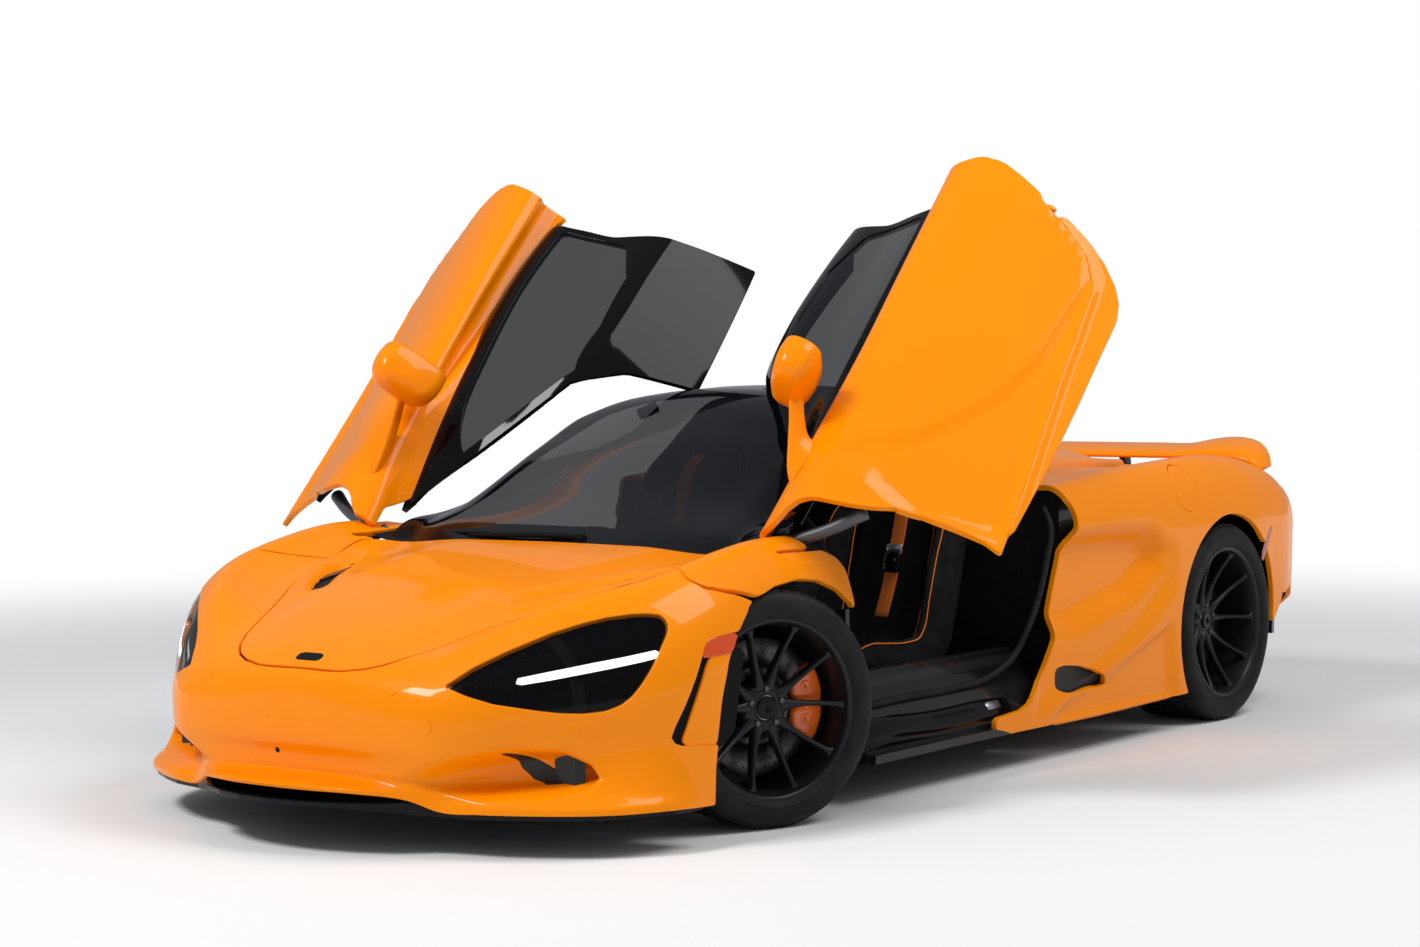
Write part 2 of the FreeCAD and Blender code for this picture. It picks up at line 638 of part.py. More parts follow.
def wing_post(gap):
    """Post under the wing, or with a gap the hole that it slides in."""
    x0, x1, y0, y1 = WING_POST
    y, z = WING_AT
    return block(x0 - gap, x1 + gap, y + y0 - gap, y + y1 + gap, z - 150 - gap, z + 12)


def wing_guide():
    """Socket on the rear frame that a wing post slides in."""
    x0, x1, y0, y1 = WING_POST
    y, z = WING_AT
    outer = block(x0 - 9, x1 + 9, REAR_PLATE_Y, y + y1 + 9, z - 230, z - 46).common(BODY_CORE)
    y0 += y - SEAT_GAP
    y1 += y + SEAT_GAP
    return outer.cut(block(x0 - SEAT_GAP, x1 + SEAT_GAP, y0, y1, z - 240, z + 9))


def door_closed():
    lower = BODY_SHELL.common(door_zone(0)).cut(CANOPY_IN)
    hoop = block(-1, 900, front(1488), front(1700), 600, 1000).common(CANOPY_GAP)
    lower = lower.cut(hoop).cut(plan_prism(COWL, 600, 900, SHUT_GAP))
    lower = lower.cut(plan_prism(BONNET, 380, 900, SHUT_GAP))
    upper = CANOPY_SHELL.common(plan_prism(DOOR_PLAN, 700, 1400)).cut(BODY_IN)
    upper = upper.cut(side_prism(SIDE_WINDOW, 300, SIDE_X))
    casing = BODY_IN.common(side_prism(DOOR_SIDE, HALF_WIDTH - SKIN - DOOR_BOX_T, SIDE_X, -DOOR_BOX_INSET))
    casing = casing.common(block(700, SIDE_X, -2000, 2000, 0, 800))
    pin_up = hinge_rod(UP_AT - 26, UP_AT + 104, HINGE_PIN_R - 2)
    pin_low = hinge_rod(25, 48, HINGE_PIN_R + 4).fuse(hinge_rod(-20, 40, HINGE_PIN_R))
    arm = rod(on_hinge(36), (880, front(330), 690), 12.0)
    return largest(fused([lower, upper, casing, pin_up, pin_low, arm]))


def door_glass_closed():
    pane = CANOPY_SHELL.common(plan_prism(DOOR_PLAN, 700, 1400)).cut(BODY_CLEAR)
    return largest(pane.common(side_prism(SIDE_WINDOW, 300, SIDE_X, -GLASS_GAP)))


def mirror_outline(depth, share):
    """Rounded outline of the mirror housing at one station, a share of its full size."""
    x, y, z = MIRROR_AT
    y += (depth - 0.5) * MIRROR_D
    width = share * MIRROR_W
    height = share * MIRROR_H
    points = []
    for corner, reach in ((15, 1.0), (50, 1.08), (90, 1.0), (130, 1.08), (165, 1.0)):
        turn = math.radians(corner)
        across = reach * width / 2 * math.cos(turn)
        rise = reach * height / 2 * math.sin(turn)
        points += [(across, rise)]
    lower = [(across, -rise) for across, rise in reversed(points)]
    return polygon([(x + across, y, z + rise) for across, rise in points + lower])


def stalk_outline(x, y, z, wide, long):
    """Lozenge in plan, one end of the mirror's stalk."""
    corners = [(wide / 2, 0), (wide / 4, long / 2), (-wide / 4, long / 2),
               (-wide / 2, 0), (-wide / 4, -long / 2), (wide / 4, -long / 2)]
    return polygon([(x + across, y + along, z) for across, along in corners])


def mirror_closed():
    """Mirror housing on its stalk, placed for a shut door."""
    x, y, z = MIRROR_AT
    foot = stalk_outline(858, front(400), 760, 34, 84)
    head = stalk_outline(x - 22, y - 6, z - MIRROR_H / 4, 30, 56)
    stalk = Part.makeLoft([foot, head], True, True)
    stations = [(0.0, 0.45), (0.1, 0.68), (0.35, 0.92), (0.8, 1.0), (1.0, 0.95)]
    shell = Part.makeLoft([mirror_outline(*station) for station in stations], True, True)
    return fused([stalk.cut(BODY_CLEAR), shell])


def opened(shape):
    return turned(shape, HINGE_LOW, HINGE_DIR, DOOR_OPEN)


def tub():
    """Floor, sills, tunnel, bulkheads and the frames that carry both ends."""
    floor = block(-1, 690, front(402), REAR_SPLIT, FLOOR_Z, FLOOR_Z + FLOOR_T)
    toe_floor = block(-1, FRONT_WELL_X, CELL_FRONT_Y, front(402), FLOOR_Z, FLOOR_Z + FLOOR_T)
    sill = front_prism(SILL, front(422), front(1500))
    tunnel = front_prism(TUNNEL, CELL_FRONT_Y, REAR_SPLIT)
    dash_wall = block(-1, FRONT_WELL_X, CELL_FRONT_Y, CELL_FRONT_Y + WALL, FLOOR_Z, 900).common(BODY_CORE)
    rail = block(FRONT_WELL_X - WALL, FRONT_WELL_X, BEAM_Y, front(422), FLOOR_Z, 900).common(BODY_CORE)
    rail = rail.cut(block(0, 700, BONNET_AXIS_Y - 60, CELL_FRONT_Y, 640, 1000))
    rail = rail.cut(block(0, 700, CELL_FRONT_Y, front(600), DASH_Z - SEAT_GAP, 1000))
    wheel_wall = block(FRONT_WELL_X - WALL, 850, front(402), front(422), FLOOR_Z, DASH_Z - SEAT_GAP)
    nose_wall = block(-1, 940, front(-462), front(-440), FLOOR_Z + 12, 900).common(BODY_CORE)
    nose_wall = nose_wall.cut(block(-1, 440, front(-500), front(-400), 180, 560))
    fender_rib = block(FRONT_WELL_X - WALL, 940, front(60), front(80), 620, 900).common(BODY_CORE)
    fender_rib = largest(fender_rib.cut(FRONT_WELL))
    nose_floor = block(-1, FRONT_WELL_X, BEAM_Y, CELL_FRONT_Y, FLOOR_Z + 12, FLOOR_Z + FLOOR_T)
    nose_beam = block(-1, 760, BEAM_Y, BEAM_Y + 20, FLOOR_Z + 12, 620).common(BODY_CORE)
    nose_beam = nose_beam.cut(block(-1, 440, front(-800), front(-700), 180, 420))
    rear_wall = block(-1, 860, REAR_SPLIT - WALL, REAR_SPLIT, FLOOR_Z, REAR_WALL_TOP)
    rear_wall = rear_wall.common(BODY_CORE).cut(REAR_WELL)
    rear_wall = rear_wall.cut(CANOPY_CLEAR.cut(CANOPY_CORE))
    rear_floor = block(-1, REAR_WELL_X, REAR_SPLIT, rear(330) - SEAT_GAP, FLOOR_Z, FLOOR_Z + 20)
    rear_side = [(REAR_SPLIT - 1, FLOOR_Z), (rear(330) - SEAT_GAP, FLOOR_Z), (rear(330) - SEAT_GAP, 263),
                 (rear(500), 263), (rear(500), 950), (REAR_SPLIT - 1, 950)]
    rear_rail = side_prism(rear_side, REAR_WELL_X - WALL, REAR_WELL_X).common(BODY_CORE)
    rear_plate = block(-1, 940, REAR_PLATE_Y, rear(490), 263, 950).common(BODY_CORE)
    rear_plate = rear_plate.cut(tail_rod(rear(400), rear(600), EXHAUST_R + SEAT_GAP))
    rear_plate = rear_plate.cut(block(-1, 300, rear(400), rear(600), 300, 520))
    front_end = [dash_wall, rail, wheel_wall, nose_wall, fender_rib, nose_floor, nose_beam]
    rear_end = [rear_wall, rear_floor, rear_rail, rear_plate, wing_guide()]
    half = fused([floor, toe_floor, sill, tunnel] + front_end + rear_end)
    pin = bonnet_rod(385, 445, HINGE_PIN_R)
    post = block(445, FRONT_WELL_X - 5, BONNET_AXIS_Y - 12, BONNET_AXIS_Y + 12, 600, BONNET_AXIS_Z + 4)
    return whole(fused([half, pin, post]))


def side_skirt():
    return BODY_OUT.common(block(905 + SEAT_GAP, 1000, front(410), front(1180), FLOOR_Z, 143))


def dashboard():
    outline = [(CELL_FRONT_Y + WALL + SEAT_GAP, 690), (front(260), 752), (front(430), 768), (front(500), 735),
               (front(490), 640), (front(430), DASH_Z), (CELL_FRONT_Y + WALL + SEAT_GAP, DASH_Z)]
    half = side_prism(outline, -1, 600).common(CANOPY_CORE.fuse(BODY_CORE)).cut(FRONT_WELL)
    half = half.cut(CANOPY_CLEAR.cut(CANOPY_CORE))
    x, y, z = STEER_WHEEL_AT
    console = block(-1, 95, front(440), front(1050), 395 + SEAT_GAP, 470)
    fascia = whole(largest(fused([half, console.cut(block(-1, 96, front(500), front(1100), 440, 700)),
                                  block(-1, 80, front(440), front(505), 420, 600)])))
    shroud = column_rod(60, 330, 33.0)
    return fascia.fuse(shroud).cut(column_rod(-10, 340, 18.0 + SEAT_GAP))


def column_rod(start, end, radius):
    """Rod on the steering column, distances measured forward from the wheel's centre."""
    tilt = math.radians(COLUMN_TILT)
    along = vec((0, -math.cos(tilt), -math.sin(tilt)))
    return Part.makeCylinder(radius, end - start, vec(STEER_WHEEL_AT).add(along * start), along)


def steering_wheel():
    tilt = math.radians(COLUMN_TILT)
    along = vec((0, -math.cos(tilt), -math.sin(tilt)))
    up = vec((0, -math.sin(tilt), math.cos(tilt)))
    hub_at = vec(STEER_WHEEL_AT)
    ring = [(STEER_WHEEL_R - GRIP_R + GRIP_R * math.cos(math.radians(a)), GRIP_R * math.sin(math.radians(a)))
            for a in range(0, 360, 45)]
    rim = Part.Face(polygon([(r, 0, h) for r, h in ring])).revolve(vec((0, 0, 0)), vec((0, 0, 1)), 360)
    rim.rotate(vec((0, 0, 0)), vec((1, 0, 0)), 90 + COLUMN_TILT)
    rim.translate(hub_at)
    hub = column_rod(-16, 44, 48.0)
    shaft = column_rod(40, 230, 18.0)
    spokes = []
    for angle in (-10, 190, 90 + 180):
        turn = math.radians(angle)
        out = vec((1, 0, 0)) * math.cos(turn) + up * math.sin(turn)
        spokes.append(Part.makeCylinder(12, STEER_WHEEL_R - 50, hub_at.add(out * 36), out))
    return fused([rim, hub, shaft] + spokes)


def seat():
    width = SEAT_W - 120
    middle = side_prism(SEAT_BODY, SEAT_X - width / 2, SEAT_X + width / 2)
    sides = [side_prism(SEAT_SIDE, x, x + 60) for x in (SEAT_X - SEAT_W / 2, SEAT_X + width / 2)]
    foot = block(SEAT_X - 150, SEAT_X + 150, front(900), front(1360), FLOOR_Z + FLOOR_T + SEAT_GAP, 245)
    head_cut = block(SEAT_X + 110, SEAT_X + 400, front(1300), front(1600), 862, 1100)
    head_cut = head_cut.fuse(block(SEAT_X - 400, SEAT_X - 110, front(1300), front(1600), 862, 1100))
    return fused([middle, foot] + sides).cut(head_cut)


def seat_belt():
    """Shoulder strap that lies on the seat back."""
    strap = [(front(1333), 421), (front(1452), 811), (front(1448), 812), (front(1329), 422)]
    shoulder = side_prism(strap, SEAT_X + 60, SEAT_X + 108)
    shoulder.translate(vec((0, -3.0, 1.0)))
    return shoulder


def engine_block():
    return block(-290, 290, REAR_SPLIT + 90, rear(-190), FLOOR_Z + 20 + SEAT_GAP, 690)


class Corner:
    """Sizes of one wheel corner, in a frame with its origin at the wheel's centre and +X outboard."""

    def __init__(self, tyre_r, tyre_w, rim_r, disc_r, track, axle_y):
        self.tyre_r = tyre_r
        self.tyre_w = tyre_w
        self.rim_r = rim_r
        self.disc_r = disc_r
        self.at = (track / 2, axle_y, tyre_r)
        self.barrel_r = rim_r - 13
        self.half = tyre_w / 2 - 12


FRONT_CORNER = Corner(FRONT_TYRE_R, FRONT_TYRE_W, FRONT_RIM_R, FRONT_DISC_R, FRONT_TRACK, FRONT_AXLE_Y)
REAR_CORNER = Corner(REAR_TYRE_R, REAR_TYRE_W, REAR_RIM_R, REAR_DISC_R, REAR_TRACK, REAR_AXLE_Y)


def revolved(wire):
    return Part.Face(wire).revolve(vec((0, 0, 0)), vec((1, 0, 0)), 360)


def polygon(points):
    return Part.makePolygon([vec(p) for p in points + points[:1]])


def tyre(c):
    """Ring with a flat tread, leaning walls and bevelled shoulders, seated on the rim."""
    half_w = c.tyre_w / 2
    bead_x = c.half - FLANGE_T - SEAT_GAP
    outboard = [(bead_x, c.barrel_r + SEAT_GAP), (bead_x, c.rim_r + 3),
                (half_w, c.tyre_r - 26), (half_w - 22, c.tyre_r)]
    inboard = [(-x, r) for x, r in reversed(outboard)]
    return revolved(polygon([(x, 0, r) for x, r in outboard + inboard]))


def spoke(c, hub_angle, rim_angle):
    """Tapered bar from the hub face out to the barrel's outboard edge."""
    wires = []
    knee_angle = 0.4 * hub_angle + 0.6 * rim_angle
    stations = [(HUB_R - 12, hub_angle, 40, 30, 30), (0.62 * c.barrel_r, knee_angle, c.half - 62, 21, 26),
                (c.barrel_r - 3, rim_angle, c.half - 22, 25, 26)]
    for radius, angle, x, wide, thick in stations:
        turn = math.radians(angle)
        out = vec((0, math.sin(turn), math.cos(turn)))
        side = vec((0, math.cos(turn), -math.sin(turn)))
        middle = vec((x, 0, 0)).add(out * radius)
        corners = [middle.add(side * (i * wide / 2)).add(vec((j * thick / 2, 0, 0)))
                   for i, j in ((-1, -1), (1, -1), (0.75, 1), (-0.75, 1))]
        wires.append(Part.makePolygon(corners + corners[:1]))
    return Part.makeLoft(wires, True, True)


def rim(c):
    inner = c.barrel_r - RIM_WALL
    seat = c.half - FLANGE_T
    profile = [(-c.half, inner), (-c.half, c.rim_r), (-seat, c.rim_r), (-seat, c.barrel_r),
               (seat, c.barrel_r), (seat, c.rim_r), (c.half, c.rim_r), (c.half, inner + 3),
               (c.half - 14, inner)]
    barrel = revolved(polygon([(x, 0, r) for x, r in profile]))
    hub_profile = [(DISC_X[1] + SEAT_GAP, 0), (DISC_X[1] + SEAT_GAP, HUB_R), (46, HUB_R), (56, HUB_R - 16),
                   (60, 34), (64, 30), (64, 0)]
    hub = revolved(polygon([(x, 0, r) for x, r in hub_profile]))
    step = 360.0 / SPOKE_PAIRS
    spokes = []
    for k in range(SPOKE_PAIRS):
        spokes += [spoke(c, k * step - 13, k * step - 21), spoke(c, k * step + 13, k * step + 21)]
    bore = Part.makeCylinder(STUB_R + RUN_GAP, SPINDLE_END + 1.0, vec((0, 0, 0)), vec((1, 0, 0)))
    return fused([barrel, hub] + spokes).cut(bore)


def disc(c):
    """Vented friction ring on a bell that fits over the stub."""
    x0, x1 = DISC_X
    bore_r = STUB_R + RUN_GAP
    profile = [(x1, bore_r), (x1, c.disc_r), (x1 - VENT_IN, c.disc_r), (x1 - VENT_IN, VENT_R),
               (x0 + VENT_IN, VENT_R), (x0 + VENT_IN, c.disc_r), (x0, c.disc_r), (x0, DISC_BELL_R),
               (x1 - VENT_IN, DISC_BELL_R - 8), (x1 - VENT_IN, bore_r)]
    return revolved(polygon([(x, 0, r) for x, r in profile]))


def caliper(c):
    """Six-piston body that straddles the disc, on the side given by +Y."""
    r0, r1 = CALIPER_R
    outline = [(r0, -62), (r1 - 30, -92), (r1 - 10, -60), (r1, 0), (r1 - 10, 60), (r1 - 30, 92), (r0, 62)]
    flat = face([(0, y, z) for y, z in outline])
    flat.translate(vec((-52, 0, 0)))
    body = flat.extrude(vec((76, 0, 0)))
    slot = rod((DISC_X[0] - 6, 0, 0), (DISC_X[1] + 6, 0, 0), c.disc_r + 6)
    window = block(-60, 40, r0 + 40, r1 - 46, -26, 26)
    return largest(body.cut(slot).cut(window))


def knuckle(side):
    """Upright with its spindle; side is +1 where the brake caliper sits to the rear."""
    x0, x1 = KNUCKLE_X
    carrier = Part.makeCylinder(62, x1 - x0, vec((x0, 0, 0)), vec((1, 0, 0)))
    spindle = Part.makeCylinder(STUB_R, SPINDLE_END - x1, vec((x1, 0, 0)), vec((1, 0, 0)))
    kingpin = -KINGPIN_IN
    upright = block(kingpin - 15, kingpin + 15, -26, 26, -ARM_DROP + 20, ARM_DROP - 20)
    pins = rod((kingpin, 0, -ARM_DROP - ARM_T / 2 - 4), (kingpin, 0, ARM_DROP + ARM_T / 2 + 4), KINGPIN_R)
    r0 = CALIPER_R[0]
    ear = block(x0 + 10, -52 - SEAT_GAP, 30, r0 + 50, -34, 34)
    if side < 0:
        ear = ear.mirror(vec((0, 0, 0)), vec((0, 1, 0)))
    return fused([carrier, spindle, upright, pins, ear])


def arm(c, z, well_x):
    """Wishbone from the frame to the ball joint, seen from above a V."""
    x, y, _ = c.at
    pin_x = x - KINGPIN_IN
    foot_x = well_x + SEAT_GAP
    outer = [(foot_x, y - 120), (foot_x, y - 88), (pin_x - 30, y - 8), (pin_x - 30, y + 8),
             (foot_x, y + 88), (foot_x, y + 120), (pin_x, y + 21), (pin_x, y - 21)]
    plate = plan_prism(outer, z - ARM_T / 2, z + ARM_T / 2)
    eye = rod((pin_x, y, z - ARM_T / 2), (pin_x, y, z + ARM_T / 2), 21)
    bore = rod((pin_x, y, z - ARM_T), (pin_x, y, z + ARM_T), KINGPIN_R + SEAT_GAP)
    return plate.fuse(eye).cut(bore)


def arms(c, well_x):
    z = c.at[2]
    return [arm(c, z - ARM_DROP, well_x), arm(c, z + ARM_DROP, well_x)]


def placed(shape, c):
    copy = shape.copy()
    copy.translate(vec(c.at))
    return copy


def steered(shape, left):
    x = KINGPIN_X if left else -KINGPIN_X
    return turned(shape, (x, FRONT_AXLE_Y, 0), (0, 0, 1), STEER_REST)


def flipped(shape):
    return shape.mirror(vec((0, 0, 0)), vec((0, 1, 0)))


def export_corner(c, tag, front_wheel):
    for piece, shape in (("tyre", tyre(c)), ("rim", rim(c)), ("brake_disc", disc(c))):
        left = placed(shape, c)
        right = mirrored(left)
        if front_wheel:
            left, right = steered(left, True), steered(right, False)
        export(piece + "_" + tag + "_left", left)
        export(piece + "_" + tag + "_right", right)


def export_all():
    export("tub", tub())
    export("front_bumper", front_bumper())
    export("front_splitter", front_splitter())
    export("front_grilles", grille())
    export("front_wings", both(front_wing()))
    export("headlamps", both(headlamp()))
    export("bonnet", bonnet())
    export("windscreen", windscreen())
    export("roof_frame", roof_frame())
    export("rear_canopy", rear_canopy())
    export("engine_cover", engine_cover())
    export("rear_window", rear_window())
    export("engine_deck", engine_deck())
    export("rear_quarters", both(rear_quarter()))
    export("rear_bumper", rear_bumper())
    export("tail_grille", tail_grille())
    export("exhaust", exhaust())
    export("tail_lamps", both(tail_lamp()))
    export("diffuser", diffuser())
    export("rear_wing", rear_wing())
    export("side_skirts", both(side_skirt()))
    export("dashboard", dashboard())
    export("steering_wheel", steering_wheel())
    export("seats", both(seat()))
    export("seat_belts", both(seat_belt()))
    export("engine_block", engine_block())
    doors = (("door", door_closed()), ("door_glass", door_glass_closed()), ("mirror", mirror_closed()))
    for piece, shape in doors:
        left = opened(shape)
        export(piece + "_left", left)
        export(piece + "_right", mirrored(left))
    export_corner(FRONT_CORNER, "front", True)
    export_corner(REAR_CORNER, "rear", False)
    left_knuckle = placed(knuckle(1), FRONT_CORNER)
    left_caliper = placed(caliper(FRONT_CORNER), FRONT_CORNER)
    for piece, shape in (("knuckle", left_knuckle), ("brake_caliper", left_caliper)):
        export(piece + "_front_left", steered(shape, True))
        export(piece + "_front_right", steered(mirrored(shape), False))
    export("front_wishbones", both(Part.makeCompound(arms(FRONT_CORNER, FRONT_WELL_X))))
    shaft_end = REAR_CORNER.at[0] + KNUCKLE_X[0] - SEAT_GAP
    shaft = rod((REAR_WELL_X + SEAT_GAP, REAR_AXLE_Y, REAR_TYRE_R), (shaft_end, REAR_AXLE_Y, REAR_TYRE_R), 18)
    export("rear_wishbones", both(Part.makeCompound(arms(REAR_CORNER, REAR_WELL_X) + [shaft])))
    export("rear_knuckles", both(placed(knuckle(-1), REAR_CORNER)))
    export("rear_calipers", both(placed(flipped(caliper(REAR_CORNER)), REAR_CORNER)))


export_all()
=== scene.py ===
"""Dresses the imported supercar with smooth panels, glass, wheels, a trimmed cabin and a studio."""
import math

import bpy
import numpy as np
from mathutils import Matrix, Vector


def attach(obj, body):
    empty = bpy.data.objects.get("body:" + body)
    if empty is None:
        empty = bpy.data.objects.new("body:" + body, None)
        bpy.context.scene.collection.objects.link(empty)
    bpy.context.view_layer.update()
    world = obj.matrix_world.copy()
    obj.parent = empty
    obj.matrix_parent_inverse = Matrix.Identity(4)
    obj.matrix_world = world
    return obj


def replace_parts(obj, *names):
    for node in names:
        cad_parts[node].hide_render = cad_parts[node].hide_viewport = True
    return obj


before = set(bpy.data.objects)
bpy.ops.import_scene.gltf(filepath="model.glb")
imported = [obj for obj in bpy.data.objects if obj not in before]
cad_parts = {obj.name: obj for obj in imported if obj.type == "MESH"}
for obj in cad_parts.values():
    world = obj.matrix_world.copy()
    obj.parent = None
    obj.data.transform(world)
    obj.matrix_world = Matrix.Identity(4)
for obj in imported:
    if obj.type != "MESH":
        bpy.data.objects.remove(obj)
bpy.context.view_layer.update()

bl_info = {
    "name": "Mid-engine supercar dress",
    "version": (1, 0, 0),
    "blender": (4, 5, 0),
    "location": "3D View > Sidebar > Supercar",
    "description": "Builds the visible panels, wheels, cabin and studio around the packed car",
    "category": "Object",
}

# Stations along the car, metres from an axle; +Y is rearward, +X is the car's left
HALF_WIDTH = 0.965
ROOF_Z = 1.196
FRONT_AXLE_Y = -1.1895
REAR_AXLE_Y = 1.4805
FRONT_WHEEL_Z = 0.327
REAR_WHEEL_Z = 0.3455
KINGPIN = Vector((0.768, FRONT_AXLE_Y, 0.0))
STEER_REST = -21.0
HINGE_LOW = Vector((0.7588, -1.0197, 0.745))
HINGE_UP = Vector((0.2367, -0.300, 1.118))
DOOR_OPEN = -72.2
MILLIMETRE = 0.001


def front(offset):
    """Y of a station given in millimetres from the front axle."""
    return FRONT_AXLE_Y + offset * MILLIMETRE


def rear(offset):
    """Y of a station given in millimetres from the rear axle."""
    return REAR_AXLE_Y + offset * MILLIMETRE


# Body sections, half width, millimetres but for y.
# y, crown z at centre, valley x z, crest x z, widest inset and z, sill x z
BODY_ROWS = [
    (front(-986), 330, 20, 330, 40, 330, 905, 328, 50, 168),
    (front(-984), 402, 80, 398, 110, 388, 825, 330, 140, 166),
    (front(-978), 438, 120, 430, 170, 412, 715, 333, 250, 163),
    (front(-963), 458, 180, 451, 250, 434, 585, 338, 380, 148),
    (front(-940), 476, 230, 468, 320, 452, 495, 345, 470, 122),
    (front(-880), 512, 310, 500, 400, 490, 402, 362, 563, 120),
    (front(-800), 548, 380, 528, 480, 540, 317, 382, 648, 120),
    (front(-650), 603, 480, 584, 620, 632, 165, 405, 800, 120),
    (front(-520), 640, 560, 618, 725, 676, 60, 435, 905, 118),
    (front(-400), 668, 620, 650, 785, 706, 18, 470, 947, 112),
    (front(-180), 706, 645, 690, 804, 756, 4, 520, 950, 113),
    (front(0), 733, 650, 720, 812, 782, 0, 560, 955, 114),
    (front(180), 752, 690, 750, 815, 786, 6, 600, 950, 116),
    (front(420), 770, 700, 772, 850, 790, 14, 600, 945, 118),
    (front(830), 800, 720, 800, 868, 806, 24, 560, 938, 118),
    (front(1190), 830, 715, 832, 872, 836, 22, 570, 940, 118),
    (rear(-1100), 862, 700, 866, 868, 868, 8, 650, 950, 120),
    (rear(-750), 880, 680, 884, 860, 896, 0, 690, 955, 124),
    (rear(-380), 888, 660, 892, 852, 918, 0, 710, 957, 128),
    (rear(0), 888, 640, 892, 846, 928, 0, 715, 957, 132),
    (rear(330), 876, 640, 882, 832, 902, 10, 710, 945, 140),
    (rear(600), 846, 620, 848, 800, 846, 50, 690, 900, 190),
    (rear(700), 824, 600, 824, 765, 818, 95, 675, 850, 235),
    (rear(740), 800, 560, 800, 700, 792, 200, 660, 750, 290),
]

# Lower face of the nose, one row for each body section from its tip to the wheel.
# Inset from the widest line and z, millimetres: chin, mouth top, mouth, shelf, lip top, lip edge
FASCIA_ROWS = [
    ((2, 282), (14, 246), (15, 214), (4, 196), (-84, 180), (-86, 172)),
    ((2, 282), (14, 246), (15, 214), (6, 195), (-74, 179), (-76, 171)),
    ((2, 282), (13, 246), (16, 214), (10, 192), (-46, 176), (-48, 168)),
    ((2, 282), (11, 244), (18, 210), (28, 182), (22, 160), (20, 150)),
    ((2, 284), (9, 242), (20, 206), (44, 172), (40, 136), (37, 122)),
    ((1, 286), (6, 242), (14, 206), (18, 168), (2, 136), (-1, 121)),
    ((0, 290), (2, 244), (0, 206), (-12, 168), (-34, 134), (-37, 120)),
    ((0, 300), (-2, 250), (-12, 208), (-32, 166), (-64, 134), (-68, 120)),
    ((-1, 320), (-4, 262), (-10, 214), (-20, 166), (-34, 134), (-37, 119)),
    ((-1, 350), (-2, 280), (-2, 225), (-3, 170), (-4, 130), (-4, 113)),
]

# Canopy sections, half width: y, drop of the crown below the roof, rail x z, belt x z
CANOPY_ROWS = [
    (front(130), 452, 500, 730, 690, 705),
    (front(190), 420, 500, 768, 702, 748),
    (front(390), 311, 505, 857, 730, 772),
    (front(690), 128, 490, 1020, 760, 797),
    (front(940), 16, 470, 1132, 772, 815),
    (front(1090), 3, 455, 1152, 775, 827),
    (front(1290), 0, 445, 1156, 768, 842),
    (front(1540), 11, 425, 1146, 735, 862),
    (rear(-880), 41, 400, 1116, 670, 880),
    (rear(-580), 96, 360, 1062, 590, 888),
    (rear(-180), 186, 310, 985, 500, 888),
    (rear(240), 276, 260, 905, 420, 880),
]

# Panel outlines in the side view (y, z)
DOOR_SIDE = [(-0.832, 0.138), (-0.818, 0.200), (-0.816, 0.290), (-0.824, 0.390), (-0.842, 0.460),
             (-0.872, 0.520), (-0.896, 0.585), (-0.906, 0.640), (-0.912, 0.690), (-0.930, 0.725),
             (-0.965, 0.748), (front(20), 0.750), (front(20), 0.930), (0.350, 0.930), (0.385, 0.850),
             (0.412, 0.800), (0.418, 0.760), (0.410, 0.710), (0.378, 0.625), (0.335, 0.520), (0.302, 0.430),
             (0.268, 0.365), (0.220, 0.298), (0.165, 0.240), (0.115, 0.205), (0.060, 0.186),
             (-0.092, 0.176), (-0.255, 0.164), (-0.450, 0.153), (-0.640, 0.144)]
SIDE_WINDOW = [
    (front(330), 0.852), (front(520), 0.950), (front(840), 1.085), (front(1060), 1.118),
    (front(1290), 1.120), (front(1440), 1.070), (front(1490), 0.905), (front(1190), 0.878),
    (front(700), 0.846),
]

# Panel outlines in plan (x, y), left half or whole
DOOR_TOP = [
    (0.784, front(158)), (0.860, front(172)), (0.920, front(246)), (0.945, front(285)), (1.0, front(330)),
    (1.0, front(1700)), (0.600, front(1700)), (0.600, front(430)), (0.712, front(340)), (0.784, front(240)),
]
DOOR_PLAN = [
    (0.790, front(150)), (0.700, front(340)), (0.600, front(590)), (0.500, front(830)),
    (0.360, front(940)), (0.127, front(1019)), (0.117, front(1593)), (0.575, front(1487)),
    (1.0, front(1538)), (1.0, front(150)),
]
WINDSCREEN = [
    (-0.640, front(205)), (0.0, front(150)), (0.640, front(205)), (0.560, front(420)),
    (0.470, front(660)), (0.385, front(850)), (0.270, front(915)), (0.0, front(945)),
    (-0.270, front(915)), (-0.385, front(850)), (-0.470, front(660)), (-0.560, front(420)),
]
BONNET_HALF = [
    (0.0, -2.136), (0.080, -2.136), (0.160, -2.133), (0.222, -2.117), (0.272, -2.092), (0.310, -2.055),
    (0.357, -1.985), (0.388, -1.915), (0.428, -1.820), (0.490, -1.710), (0.556, -1.590), (0.606, -1.460),
    (0.645, -1.330), (0.676, -1.230), (0.690, -1.170), (0.678, -1.120), (0.640, -1.088), (0.0, -1.075),
]
